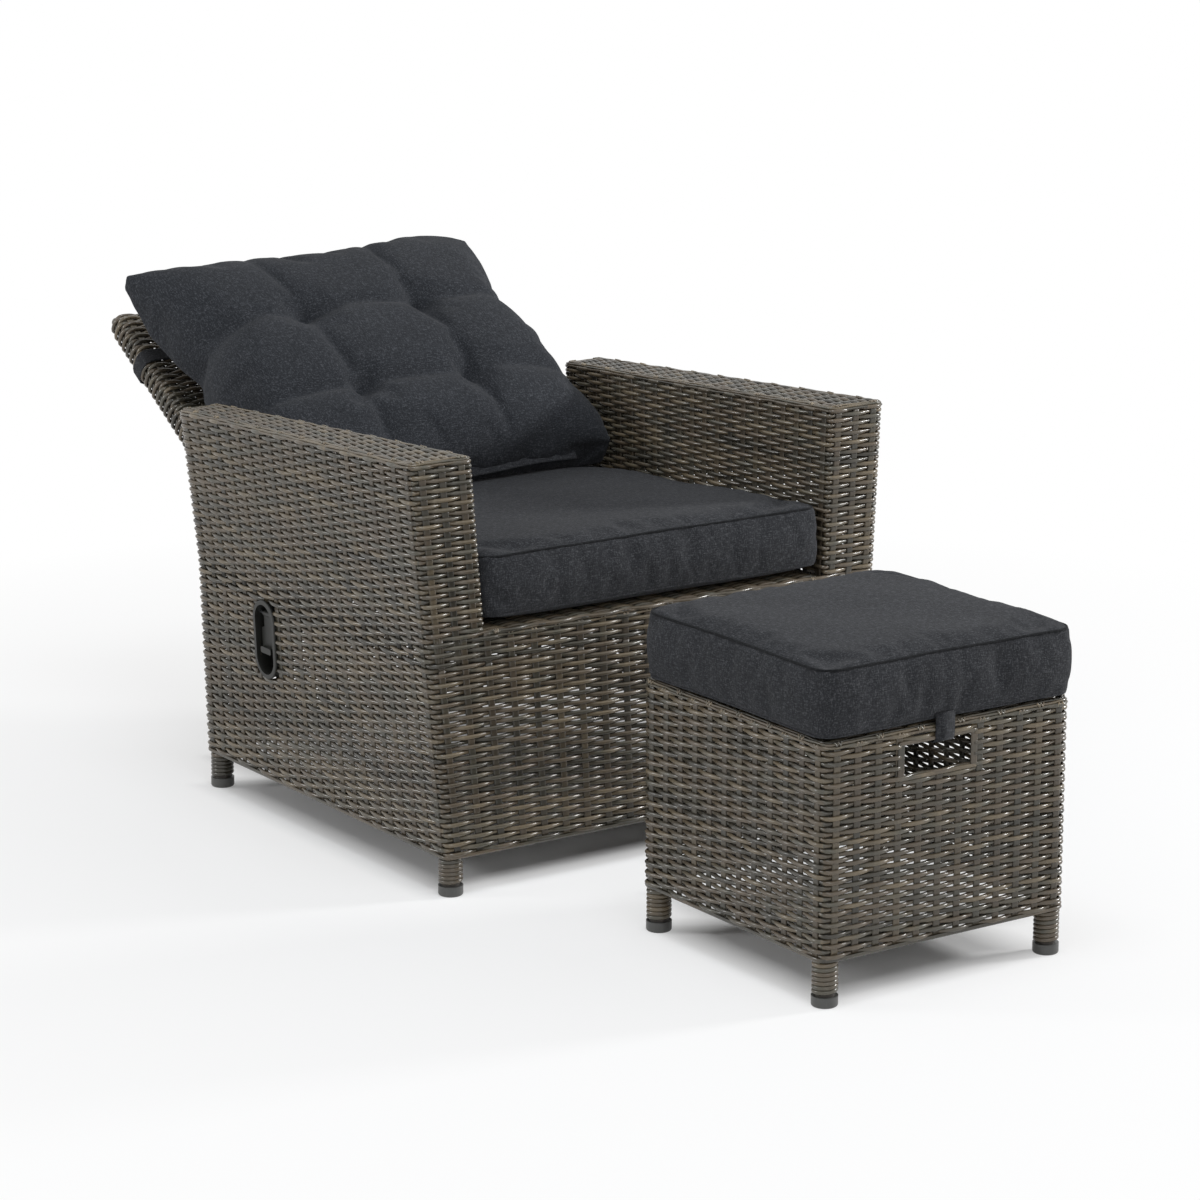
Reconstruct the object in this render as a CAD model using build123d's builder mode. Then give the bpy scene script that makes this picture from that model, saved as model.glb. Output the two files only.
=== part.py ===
# Outdoor recliner with ottoman: a woven lounge chair whose back is set by a locking
# gas spring, with loose cushions, and a woven ottoman with a tied cushion.
# Millimetres. +Z up, the chair faces -Y, +X is the right-hand side seen from the front.
# The origin is on the floor under the middle of the whole set.
import os
from math import atan2, cos, hypot, pi, radians, sin, tan

from build123d import *

os.makedirs("parts", exist_ok=True)

# Chair body, measured over the weave
base_width = 710.0
base_depth = 657.0
rail_height = 358.6
arm_flare_front = 40.0
arm_flare_rear = 17.0
arm_width_front = base_width + 2 * arm_flare_front
arm_width_rear = base_width + 2 * arm_flare_rear
arm_rise_front = 236.4
arm_rise_rear = 199.4
arm_height_front = rail_height + arm_rise_front
arm_height_rear = rail_height + arm_rise_rear
arm_lean_front = 19.0
arm_lean_rear = 33.0
waist_drop = 13.6
waist_height = rail_height - waist_drop
arm_thickness = 89.0
seat_flare_front = 32.0
seat_flare_rear = 36.0
seat_gap_base = base_width - 2 * arm_thickness
seat_gap_front = seat_gap_base + 2 * seat_flare_front
seat_gap_rear = seat_gap_base + 2 * seat_flare_rear
leg_height = 56.0
corner_radius = 12.0

# Weave and tubes
weave_thickness = 4.5
post_radius = 12.5
wrap_thickness = 4.0
rail_radius = 10.0
small_rail_radius = 8.0
tube_wall = 1.5
weave_gap = 0.3
skin_side_gap = 0.3
running_gap = 0.05
cut_overrun = 1.0

# Seat deck
seat_fall = 4.1
deck_depth = 585.0
wall_foot_drop = 14.0
seat_bar_spacing = 190.0
seat_rear_rail_place = 553.0
rear_rail_drop = 46.6
rear_rail_height = rail_height - rear_rail_drop

# Back
hinge_place = 612.0
hinge_drop = 25.6
hinge_height = rail_height - hinge_drop
back_length = 546.0
back_start = 30.0
back_overlap = 11.0
back_width = seat_gap_base + 2 * back_overlap
back_tube_radius = 17.0
back_elevation = 32.0
back_middle_share = 0.55
back_bottom_tube_radius = 11.0
back_bottom_tube_place = 42.0
hinge_eye_radius = 14.0
hinge_eye_width = 30.0
hinge_pin_radius = 5.0
bush_wall = 3.0
bush_flange_radius = 11.0
bush_flange_thickness = 2.0
hinge_pin_head_radius = 9.0
hinge_pin_head = 3.0
hinge_bracket_thickness = 6.0
hinge_bracket_gap = 1.5
hinge_hole_gap = 1.5

# Gas spring
spring_side = -120.0
lever_radius = 64.0
lever_rest_angle = 21.0
lever_plate = 4.0
lever_end_radius = 11.0
spring_length = 280.0
spring_elevation = 6.0
spring_pin_radius = 4.0
open_pivot_gap = 3.4
spring_eye_radius = 13.0
spring_lug_thickness = 8.0
spring_side_gap = 0.6
cylinder_radius = 14.0
cylinder_wall = 1.5
cylinder_start = 50.0
cylinder_end = 256.0
cylinder_cap = 4.0
guide_length = 12.0
rod_radius = 5.0
rod_end = 226.0
piston_length = 14.0
release_hole_radius = 1.6
release_pin_radius = 1.5
release_pin_reach = 4.0
release_pin_depth = 40.0
head_eye_radius = 11.0
head_width = 16.0
head_length = 36.0
head_height = 20.0
head_socket = 16.0
release_lever_thickness = 5.0
release_lever_reach = 26.0
release_lever_width = 7.0
release_lever_pivot = 5.5
release_lever_pin_radius = 1.6
spring_rail_radius = 10.0
bracket_ear = 5.0
bracket_ear_radius = 8.5

# Release handle in the left side
handle_place = 457.0
handle_drop = 94.6
handle_height = rail_height - handle_drop
bezel_width = 60.0
bezel_height = 115.0
bezel_thickness = 3.5
bezel_lip = 6.5
cup_wall = 2.0
cup_depth = 24.0
cup_gap = 0.4
paddle_pin_radius = 2.0
paddle_pin_height = 35.0
paddle_pin_depth = 7.0
paddle_barrel_radius = 4.0
paddle_neck_width = 24.0
paddle_neck_end = 15.0
paddle_width = 40.0
paddle_end = -21.0
paddle_thickness = 4.0
paddle_lip = 9.0
paddle_round = 6.0
cable_radius = 2.5
cable_boss_radius = 5.0
cable_boss_length = 8.0
cable_exit_height = -2.0
cable_gap = 0.4
cable_bend = 59.0
cable_bend_end = 19.0
cable_ease = 1.0

# Feet
cap_height = 14.0
cap_flare = 0.5
cap_edge = 3.0
cap_plug_length = 12.0
wrap_top_gap = 1.2

# Cushions
seat_cushion_overlap = 15.0
seat_cushion_width = seat_gap_base + 2 * seat_cushion_overlap
seat_cushion_depth = 572.0
seat_cushion_side = 82.0
seat_cushion_belly = 17.0
seat_cushion_crown = 10.0
cushion_draw = 4.0
cushion_gap = 0.3
edge_rise = 0.12
back_cushion_overlap = 37.0
back_cushion_width = seat_gap_base + 2 * back_cushion_overlap
back_cushion_length = 503.0
back_cushion_front_rise = 66.0
back_cushion_rear_rise = 110.0
back_cushion_edge = 11.0
back_cushion_draw = 34.0
back_cushion_lean = 4.0
back_cushion_start = -1.4
back_cushion_stand = 156.0
strap_width = 25.0
strap_thickness = 1.8
strap_place = 447.0

# Ottoman
ottoman_width = 394.0
ottoman_depth = 387.0
ottoman_shift = -13.0
ottoman_front = 631.0
ottoman_weave_height = 340.0
ottoman_leg_height = 63.0
ottoman_cushion_side = 81.0
ottoman_cushion_belly = 12.0
ottoman_cushion_crown = 8.0
ottoman_cushion_width = 396.0
ottoman_cushion_depth = 376.0
hand_hole_width = 107.0
hand_hole_height = 38.0
hand_hole_top_drop = 21.0
hand_hole_shift = -21.0
hand_hole_radius = 4.0
ottoman_strap_shift = 9.0
ottoman_strap_hook = 12.0
ottoman_strap_width = 30.0

# Places worked out from the sizes above
leg_inset = post_radius + weave_thickness + weave_gap
leg_x = base_width / 2 - leg_inset
back_reach = (hinge_place + back_length * cos(radians(back_elevation))
              + (back_tube_radius + weave_thickness) * sin(radians(back_elevation)))
front_y = -(back_reach - ottoman_front) / 2
seat_slope = tan(radians(seat_fall))


def deck_height(place):
    """Height of the deck's top, at a distance behind the chair's front edge."""
    return rail_height - seat_slope * place


def between(low, high, share):
    return low + (high - low) * share


# The arm box has a level bottom section, a level waist and a sloping top.
front_waist_share = (waist_height - leg_height) / (arm_height_front - leg_height)
rear_waist_share = (waist_height - leg_height) / (arm_height_rear - leg_height)


def outer_side(front_share, rear_share):
    """Half widths of the outer face at the front and at the rear corner."""
    return (between(base_width, arm_width_front, front_share) / 2,
            between(base_width, arm_width_rear, rear_share) / 2)


def inner_side(front_share, rear_share):
    """Half widths of the seat gap at the front and at the rear corner."""
    return (between(seat_gap_base, seat_gap_front, front_share) / 2,
            between(seat_gap_base, seat_gap_rear, rear_share) / 2)


def front_edge(height):
    """How far the leaning front lies behind its own foot."""
    return arm_lean_front * (height - leg_height) / (arm_height_front - leg_height)


def rear_edge(height):
    """Place of the arms' rear face, which leans back above the waist."""
    lean_share = max(height - waist_height, 0) / (arm_height_rear - waist_height)
    return base_depth + arm_lean_rear * lean_share


def side_shares(place, height):
    """Shares of the flare at the front and the rear, and how far back a place lies."""
    front_share = (height - leg_height) / (arm_height_front - leg_height)
    rear_share = (height - leg_height) / (arm_height_rear - leg_height)
    back_share = (place - front_edge(height)) / (rear_edge(height) - front_edge(height))
    return front_share, rear_share, back_share


def inner_half(place, height):
    """Half width of the seat gap at any place and height, below the arms' tops."""
    front_share, rear_share, back_share = side_shares(place, height)
    return between(*inner_side(front_share, rear_share), back_share)


def outer_half(place, height):
    """Half width over the sides at any place and height, below the arms' tops."""
    front_share, rear_share, back_share = side_shares(place, height)
    return between(*outer_side(front_share, rear_share), back_share)


def arm_corners(front_share, rear_share, front_height, rear_height, rear_place):
    """Corners of one section of the left arm box, outer front first."""
    outer_front, outer_rear = outer_side(front_share, rear_share)
    inner_front, inner_rear = inner_side(front_share, rear_share)
    front = front_y + arm_lean_front * front_share
    rear = front_y + rear_place
    return [Vector(-outer_front, front, front_height), Vector(-outer_rear, rear, rear_height),
            Vector(-inner_rear, rear, rear_height), Vector(-inner_front, front, front_height)]


arm_levels = [
    arm_corners(0, 0, leg_height, leg_height, base_depth),
    arm_corners(front_waist_share, rear_waist_share, waist_height, waist_height, base_depth),
    arm_corners(1, 1, arm_height_front, arm_height_rear, base_depth + arm_lean_rear),
]


def section_plane(corners, drop):
    """The plane of a section, lowered by drop; its x axis is the row's X."""
    along = corners[1] - corners[0]
    along = Vector(0, along.Y, along.Z).normalized()
    normal = Vector(1, 0, 0).cross(along)
    return Plane(origin=Vector(0, corners[0].Y, corners[0].Z) - normal * drop,
                 x_dir=(1, 0, 0), z_dir=normal)


def arm_block(inset, top_drop):
    """The arm box as a plain solid, drawn in by inset."""
    faces = []
    for corners in arm_levels:
        drop = top_drop if corners is arm_levels[-1] else 0
        plane = section_plane(corners, drop)
        flat = [plane.to_local_coords(corner) for corner in corners]
        with BuildSketch(plane) as section:
            with BuildLine():
                Polyline(*[(point.X, point.Y) for point in flat], close=True)
            make_face()
            if inset:
                offset(amount=-inset, kind=Kind.INTERSECTION)
            outer_corners = section.vertices().sort_by(Axis.X)[:2]
            fillet(outer_corners, radius=corner_radius - inset)
        faces.append(section.sketch)
    with BuildPart() as block:
        loft(sections=faces, ruled=True)
    return block.part


def finish(part, name):
    part.label = name
    export_step(part, f"parts/{name}.step")
    return part


# Tubes: straight runs with round elbows, cut to the shape of what they are welded to
def bar(points, radius):
    with BuildPart() as solid:
        for start, end in zip(points, points[1:]):
            run = Vector(end) - Vector(start)
            with BuildSketch(Plane(origin=start, z_dir=run)):
                Circle(radius)
            extrude(amount=run.length)
        for point in points[1:-1]:
            with Locations(point):
                Sphere(radius)
    return solid.part


def tube(points, radius, cutters=()):
    with BuildPart() as pipe:
        add(bar(points, radius))
        run_in = Vector(points[1]) - Vector(points[0])
        run_out = Vector(points[-1]) - Vector(points[-2])
        bore = [Vector(points[0]) - run_in.normalized() * cut_overrun, *points[1:-1],
                Vector(points[-1]) + run_out.normalized() * cut_overrun]
        add(bar(bore, radius - tube_wall), mode=Mode.SUBTRACT)
        for cutter in cutters:
            add(cutter, mode=Mode.SUBTRACT)
    return pipe.part


def largest(part):
    """The piece that is left after a tube's stray ends are cut off."""
    return Part(part.solids().sort_by(SortBy.VOLUME)[-1].wrapped)


def group(*parts):
    """Several like pieces that share one node."""
    return Compound(children=list(parts))


def across(part):
    return mirror(part, about=Plane.YZ)


# Leg posts and arm frames
post_foot = cap_height
top_plane = section_plane(arm_levels[-1], weave_thickness + weave_gap + rail_radius)


def below_top(half_at, inset, place):
    """A point of the arm frame's tube axes, inset from the outer or the inner face."""
    slope = -top_plane.z_dir.Y / top_plane.z_dir.Z
    y = front_y + place
    height = top_plane.origin.Z + slope * (y - top_plane.origin.Y)
    return Vector(inset - half_at(place, height), y, height)


under_wall = weave_thickness + weave_gap
rail_side = under_wall + rail_radius
front_top_place = arm_lean_front + leg_inset
rear_top_place = rear_edge(arm_height_rear - rail_side) - leg_inset
front_top = below_top(outer_half, leg_inset, front_top_place)
rear_top = below_top(outer_half, leg_inset, rear_top_place)
rear_waist_x = -(outer_side(front_waist_share, rear_waist_share)[1] - leg_inset)
rear_waist = Vector(rear_waist_x, front_y + base_depth - leg_inset, waist_height)
inner_front_top = below_top(inner_half, -rail_side - weave_gap, front_top_place)
inner_rear_top = below_top(inner_half, -rail_side - weave_gap, rear_top_place)

front_leg_y = front_y + leg_inset
rear_leg_y = front_y + base_depth - leg_inset
front_post_line = [Vector(-leg_x, front_leg_y, post_foot), Vector(-leg_x, front_leg_y, leg_height),
                   front_top]
rear_post_line = [Vector(-leg_x, rear_leg_y, post_foot), Vector(-leg_x, rear_leg_y, leg_height),
                  rear_waist, rear_top]

# The arm frame is a ring of four tubes: the two rails run through, the cross tubes fit between.
def lengthened(start, end, extra):
    step = (end - start).normalized() * extra
    return [start - step, end + step]


outer_rail_line = lengthened(front_top, rear_top, rail_radius)
inner_rail_line = lengthened(inner_front_top, inner_rear_top, rail_radius)
outer_rail_bar = bar(outer_rail_line, rail_radius)
inner_rail_bar = bar(inner_rail_line, rail_radius)
arm_rails = [outer_rail_bar, inner_rail_bar]
left_arm_tubes = [
    tube(outer_rail_line, rail_radius),
    tube(inner_rail_line, rail_radius),
    largest(tube([front_top, inner_front_top], small_rail_radius, arm_rails)),
    largest(tube([rear_top, inner_rear_top], small_rail_radius, arm_rails)),
]
arm_frame_bars = [*arm_rails, bar([front_top, inner_front_top], small_rail_radius),
                  bar([rear_top, inner_rear_top], small_rail_radius)]
finish(group(*left_arm_tubes), "left_arm_frame")
finish(group(*[across(piece) for piece in left_arm_tubes]), "right_arm_frame")

front_post_bar = bar(front_post_line, post_radius)
rear_post_bar = bar(rear_post_line, post_radius)
left_front_post = largest(tube(front_post_line, post_radius, arm_frame_bars))
left_rear_post = largest(tube(rear_post_line, post_radius, arm_frame_bars))
finish(left_front_post, "left_front_post")
finish(left_rear_post, "left_rear_post")
finish(across(left_front_post), "right_front_post")
finish(across(left_rear_post), "right_rear_post")

# Lower rails
lower_rail_z = leg_height + small_rail_radius + weave_thickness
front_lower_line = [Vector(-leg_x, front_leg_y, lower_rail_z), Vector(leg_x, front_leg_y, lower_rail_z)]
rear_lower_line = [Vector(-leg_x, rear_leg_y, lower_rail_z), Vector(leg_x, rear_leg_y, lower_rail_z)]
side_lower_line = [Vector(-leg_x, front_leg_y, lower_rail_z), Vector(-leg_x, rear_leg_y, lower_rail_z)]
front_posts = [front_post_bar, across(front_post_bar)]
rear_posts = [rear_post_bar, across(rear_post_bar)]
front_lower_rail = tube(front_lower_line, small_rail_radius, front_posts)
rear_lower_rail = tube(rear_lower_line, small_rail_radius, rear_posts)
left_lower_rail = tube(side_lower_line, small_rail_radius, [front_post_bar, rear_post_bar])
finish(largest(front_lower_rail), "front_lower_rail")
finish(largest(rear_lower_rail), "rear_lower_rail")
side_lower_part = largest(left_lower_rail)
finish(group(side_lower_part, across(side_lower_part)), "side_lower_rails")

# Inner posts, from the lower cross rails to the arm frame
inner_foot_x = -(inner_half(leg_inset, lower_rail_z) + rail_side)
inner_waist_x = -(inner_side(front_waist_share, rear_waist_share)[1] + rail_side)
inner_front_line = [Vector(inner_foot_x, front_leg_y, lower_rail_z), inner_front_top]
inner_rear_line = [Vector(inner_foot_x, rear_leg_y, lower_rail_z),
                   Vector(inner_waist_x, rear_leg_y, waist_height), inner_rear_top]
front_lower_bar = bar(front_lower_line, small_rail_radius)
rear_lower_bar = bar(rear_lower_line, small_rail_radius)
inner_front_bar = bar(inner_front_line, rail_radius)
inner_rear_bar = bar(inner_rear_line, rail_radius)
inner_front_post = largest(tube(inner_front_line, rail_radius, [*arm_frame_bars, front_lower_bar]))
inner_rear_post = largest(tube(inner_rear_line, rail_radius, [*arm_frame_bars, rear_lower_bar]))
finish(group(inner_front_post, inner_rear_post), "left_inner_posts")
finish(group(across(inner_front_post), across(inner_rear_post)), "right_inner_posts")

# Seat rails. The side rails lie under the foot of the arms' inner walls.
seat_rail_drop = wall_foot_drop + rail_radius + weave_gap
front_rail_place = front_edge(rail_height) + rail_side
front_rail_z = deck_height(front_rail_place + rail_radius) - rail_side
front_rail_y = front_y + front_rail_place


def seat_side_point(place):
    height = deck_height(place) - seat_rail_drop
    return Vector(-(inner_half(place, height) + weave_thickness), front_y + place, height)


seat_side_line = [seat_side_point(leg_inset), seat_side_point(base_depth - leg_inset)]
seat_side_bar = bar(seat_side_line, rail_radius)
seat_sides = [seat_side_bar, across(seat_side_bar)]
front_seat_line = [Vector(inner_front_top.X, front_rail_y, front_rail_z),
                   Vector(-inner_front_top.X, front_rail_y, front_rail_z)]
front_seat_bar = bar(front_seat_line, rail_radius)
front_seat_rail = tube(front_seat_line, rail_radius, [inner_front_bar, across(inner_front_bar)])
finish(largest(front_seat_rail), "front_seat_rail")
seat_side_rail = tube(seat_side_line, rail_radius, [front_seat_bar, inner_front_bar, inner_rear_bar])
seat_side_part = largest(seat_side_rail)
finish(group(seat_side_part, across(seat_side_part)), "seat_side_rails")


def seat_cross_line(place, height):
    side = seat_side_point(place)
    return [Vector(side.X, front_y + place, height), Vector(-side.X, front_y + place, height)]


seat_bar_drop = weave_thickness + weave_gap + small_rail_radius
seat_rear_line = seat_cross_line(seat_rear_rail_place,
                                 deck_height(seat_rear_rail_place) - seat_bar_drop)
seat_rear_bar = bar(seat_rear_line, small_rail_radius)
finish(largest(tube(seat_rear_line, small_rail_radius, seat_sides)), "seat_rear_rail")

seat_bars = []
for side in (-seat_bar_spacing / 2, seat_bar_spacing / 2):
    seat_bar_line = [Vector(side, front_y + place, deck_height(place) - seat_bar_drop)
                     for place in (front_rail_place, seat_rear_rail_place)]
    seat_bars.append(seat_bar_line)
seat_bar_tubes = [largest(tube(line, small_rail_radius, [front_seat_bar, seat_rear_bar]))
                  for line in seat_bars]
finish(group(*seat_bar_tubes), "seat_bars")

rear_rail_y = front_y + base_depth - weave_thickness - weave_gap - small_rail_radius
rear_upper_line = [Vector(inner_rear_top.X, rear_rail_y, rear_rail_height),
                   Vector(-inner_rear_top.X, rear_rail_y, rear_rail_height)]
rear_upper_rail = tube(rear_upper_line, small_rail_radius, [inner_rear_bar, across(inner_rear_bar)])
finish(largest(rear_upper_rail), "rear_upper_rail")

# Back: places along the reclined panel, from the hinge, and square to it
hinge = Vector(0, front_y + hinge_place, hinge_height)
back_angle = radians(back_elevation)
back_along = Vector(0, cos(back_angle), sin(back_angle))
back_normal = Vector(0, -sin(back_angle), cos(back_angle))
back_half = back_tube_radius + weave_thickness + weave_gap


def on_back(x, along, out):
    return Vector(x, 0, 0) + hinge + back_along * along + back_normal * out


def back_plane(along):
    """A plane square to the panel, with x across the chair and y out of its front."""
    return Plane(origin=on_back(0, along, 0), x_dir=(1, 0, 0), z_dir=-back_along)


def side_plane(x):
    """A plane square to X, with its x along +Y and its y up."""
    return Plane(origin=(x, 0, 0), x_dir=(0, 1, 0), z_dir=(1, 0, 0))


def plate_outline(places, radius):
    """The outline round several points (y, z), as a tight band round circles."""
    with BuildSketch() as circles:
        with Locations(*[(point[0], point[1]) for point in places]):
            Circle(radius)
        make_hull()
    return circles.sketch


def side_plate(x_low, x_high, places, radius):
    """A plate square to X, from x_low to x_high, round the given points."""
    with BuildPart() as plate:
        with BuildSketch(side_plane(x_low)):
            add(plate_outline(places, radius))
        extrude(amount=x_high - x_low)
    return plate.part


def side_pin(x_low, x_high, y, z, radius):
    return bar([Vector(x_low, y, z), Vector(x_high, y, z)], radius)


hinge_yz = (hinge.Y, hinge.Z)
back_tube_x = back_width / 2 - back_half
hinge_bore_radius = hinge_pin_radius + running_gap + bush_wall
eye_outer_x = back_width / 2
eye_inner_x = eye_outer_x - hinge_eye_width
side_tube_start = on_back(-back_tube_x, 0, 0)
side_tube_end = on_back(-back_tube_x, back_length - back_half, 0)
top_tube_line = [side_tube_end, on_back(back_tube_x, back_length - back_half, 0)]
bottom_tube_line = [on_back(-back_tube_x, back_bottom_tube_place, 0),
                    on_back(back_tube_x, back_bottom_tube_place, 0)]
middle_place = back_length * back_middle_share
middle_line = [on_back(-back_tube_x, middle_place, 0), on_back(back_tube_x, middle_place, 0)]
eye_bar = side_pin(-eye_outer_x + weave_thickness, -eye_inner_x, hinge.Y, hinge.Z, hinge_eye_radius)
eye_bore = side_pin(-eye_outer_x - cut_overrun, cut_overrun - eye_inner_x, hinge.Y, hinge.Z,
                    hinge_bore_radius)
side_tube_bar = bar([side_tube_start, side_tube_end], back_tube_radius)

with BuildPart() as left_back_tube:
    add(tube([side_tube_start, side_tube_end], back_tube_radius))
    with Locations(side_tube_end):
        Sphere(back_tube_radius)
    add(side_pin(-eye_outer_x - back_tube_radius, eye_outer_x, hinge.Y, hinge.Z, hinge_eye_radius),
        mode=Mode.SUBTRACT)
    add(eye_bar)
    add(eye_bore, mode=Mode.SUBTRACT)
left_back_part = largest(left_back_tube.part)
finish(left_back_part, "left_back_tube")
finish(across(left_back_part), "right_back_tube")
with BuildPart() as side_elbow:
    add(side_tube_bar)
    with Locations(side_tube_end):
        Sphere(back_tube_radius)
back_ends = [side_elbow.part, across(side_elbow.part)]
back_top_tube = tube(top_tube_line, back_tube_radius, back_ends)
finish(largest(back_top_tube), "back_top_tube")
finish(largest(tube(bottom_tube_line, back_bottom_tube_radius, back_ends)), "back_bottom_tube")
finish(largest(tube(middle_line, small_rail_radius, back_ends)), "back_middle_rail")

# The back's woven skin is a sleeve that is open at its lower end.
with BuildPart() as back_weave:
    with BuildSketch(Plane(origin=on_back(0, 0, -back_half), x_dir=(1, 0, 0), z_dir=back_normal)):
        with Locations((0, between(back_start, back_length, 0.5))):
            RectangleRounded(back_width, back_length - back_start, corner_radius)
    extrude(amount=2 * back_half)
    with BuildSketch(Plane(origin=on_back(0, 0, weave_thickness - back_half), x_dir=(1, 0, 0),
                           z_dir=back_normal)):
        with Locations((0, between(back_start - corner_radius, back_length - weave_thickness, 0.5))):
            Rectangle(back_width - 2 * weave_thickness,
                      back_length - back_start - weave_thickness + corner_radius)
    extrude(amount=2 * (back_half - weave_thickness), mode=Mode.SUBTRACT)
finish(back_weave.part, "back_weave")

# Back hinge: an eye on each side tube with a flanged bush, on a pin through the arm's inner wall
with BuildPart() as left_bush:
    with BuildSketch(side_plane(-eye_outer_x + weave_thickness)):
        with Locations(hinge_yz):
            Circle(hinge_bore_radius)
            Circle(hinge_pin_radius + running_gap, mode=Mode.SUBTRACT)
    extrude(amount=hinge_eye_width - weave_thickness)
    with BuildSketch(side_plane(-eye_outer_x + weave_thickness)):
        with Locations(hinge_yz):
            Circle(bush_flange_radius)
            Circle(hinge_pin_radius + running_gap, mode=Mode.SUBTRACT)
    extrude(amount=-bush_flange_thickness)
finish(group(left_bush.part, across(left_bush.part)), "hinge_bushes")

bracket_x = -(inner_half(hinge_place, hinge_height) + weave_thickness + hinge_bracket_gap)
pin_inner_x = -eye_inner_x + running_gap + hinge_pin_head
with BuildPart() as left_hinge_pin:
    add(side_pin(bracket_x - hinge_bracket_thickness, pin_inner_x, hinge.Y, hinge.Z, hinge_pin_radius))
    add(side_pin(pin_inner_x - hinge_pin_head, pin_inner_x, hinge.Y, hinge.Z, hinge_pin_head_radius))
finish(group(left_hinge_pin.part, across(left_hinge_pin.part)), "hinge_pins")

post_yz = (front_y + base_depth - under_wall - hinge_eye_radius, hinge.Z)
with BuildPart() as left_hinge_bracket:
    add(side_plate(bracket_x - hinge_bracket_thickness, bracket_x, [hinge_yz, post_yz],
                   hinge_eye_radius))
    add(inner_rear_bar, mode=Mode.SUBTRACT)
    add(bar(rear_upper_line, small_rail_radius), mode=Mode.SUBTRACT)
    add(side_pin(bracket_x - hinge_eye_width, bracket_x + hinge_eye_width, hinge.Y, hinge.Z,
                 hinge_pin_radius), mode=Mode.SUBTRACT)
hinge_bracket_part = Part(left_hinge_bracket.part.solids().sort_by(Axis.Y)[0].wrapped)
finish(group(hinge_bracket_part, across(hinge_bracket_part)), "hinge_brackets")

# Gas spring: its head pivots on a bracket under the seat, its cylinder pushes the back's lever
lever_angle = radians(lever_rest_angle)
lever_end = (hinge.Y - lever_radius * sin(lever_angle), hinge.Z - lever_radius * cos(lever_angle))
spring_angle = radians(spring_elevation)
spring_foot = (lever_end[0] - spring_length * cos(spring_angle),
               lever_end[1] - spring_length * sin(spring_angle))
spring_along = Vector(0, cos(spring_angle), sin(spring_angle))
spring_origin = Vector(spring_side, spring_foot[0], spring_foot[1])


def on_spring(along, across_axis=0.0, up=0.0):
    """A place along the spring from its front pivot, towards +X and square to both."""
    upward = Vector(0, -sin(spring_angle), cos(spring_angle))
    return spring_origin + spring_along * along + Vector(across_axis, 0, 0) + upward * up


def spring_plane(along):
    """Square to the spring's axis, x along +X and y up."""
    return Plane(origin=on_spring(along), x_dir=(1, 0, 0), z_dir=-spring_along)


def spring_side_plane(across_axis):
    """Square to X, with its x along the spring's axis."""
    return Plane(origin=on_spring(0, across_axis), x_dir=spring_along, z_dir=(1, 0, 0))


bottom_yz = (on_back(0, back_bottom_tube_place, 0).Y, on_back(0, back_bottom_tube_place, 0).Z)
lug_half = spring_lug_thickness / 2
lever_inner = lug_half + spring_side_gap
with BuildPart() as spring_lever:
    for side in (-lever_inner - lever_plate, lever_inner):
        add(side_plate(spring_side + side, spring_side + side + lever_plate,
                       [lever_end, hinge_yz], lever_end_radius))
        add(side_plate(spring_side + side, spring_side + side + lever_plate,
                       [hinge_yz, bottom_yz], lever_end_radius))
    add(bar(bottom_tube_line, back_bottom_tube_radius), mode=Mode.SUBTRACT)
    add(side_pin(spring_side - 2 * lever_inner - lever_plate, spring_side + 2 * lever_inner + lever_plate,
                 lever_end[0], lever_end[1], spring_pin_radius), mode=Mode.SUBTRACT)
lever_plates = spring_lever.part.solids().sort_by(SortBy.VOLUME)[-2:]
finish(group(*[Part(plate.wrapped) for plate in lever_plates]), "spring_lever")
pin_half = lever_inner + lever_plate
finish(side_pin(spring_side - pin_half, spring_side + pin_half, lever_end[0], lever_end[1],
                spring_pin_radius), "spring_rear_pin")

with BuildPart() as spring_cylinder:
    with BuildSketch(spring_plane(cylinder_start)):
        Circle(cylinder_radius)
    extrude(amount=cylinder_start - cylinder_end)
    with BuildSketch(spring_plane(cylinder_start)):
        Circle(cylinder_radius - cylinder_wall)
    extrude(amount=cylinder_start - cylinder_end + cylinder_cap, mode=Mode.SUBTRACT)
    with BuildSketch(spring_side_plane(-lug_half)):
        with Locations((spring_length, 0)):
            Circle(spring_eye_radius)
        with Locations((between(cylinder_end, spring_length, 0.5), 0)):
            Rectangle(spring_length - cylinder_end, 2 * spring_eye_radius)
    extrude(amount=spring_lug_thickness)
    with BuildSketch(spring_side_plane(-spring_lug_thickness)):
        with Locations((spring_length, 0)):
            Circle(spring_pin_radius + open_pivot_gap)
    extrude(amount=2 * spring_lug_thickness, mode=Mode.SUBTRACT)
finish(spring_cylinder.part, "gas_spring_cylinder")

guide_bore = cylinder_radius - cylinder_wall
with BuildPart() as rod_guide:
    with BuildSketch(spring_plane(cylinder_start)):
        Circle(guide_bore)
        Circle(rod_radius + running_gap, mode=Mode.SUBTRACT)
    extrude(amount=-guide_length)
finish(rod_guide.part, "rod_guide")

rod_start = head_length - head_socket
with BuildPart() as gas_rod:
    with BuildSketch(spring_plane(rod_start)):
        Circle(rod_radius)
    extrude(amount=rod_start - rod_end)
    with BuildSketch(spring_plane(rod_end)):
        Circle(guide_bore - running_gap)
    extrude(amount=-piston_length)
    with BuildSketch(spring_plane(rod_start)):
        Circle(release_hole_radius)
    extrude(amount=-release_pin_depth, mode=Mode.SUBTRACT)
finish(gas_rod.part, "gas_spring_rod")

with BuildPart() as release_pin:
    with BuildSketch(spring_plane(rod_start - release_pin_reach)):
        Circle(release_pin_radius)
    extrude(amount=-release_pin_reach - release_pin_depth / 2)
finish(release_pin.part, "release_pin")

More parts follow.
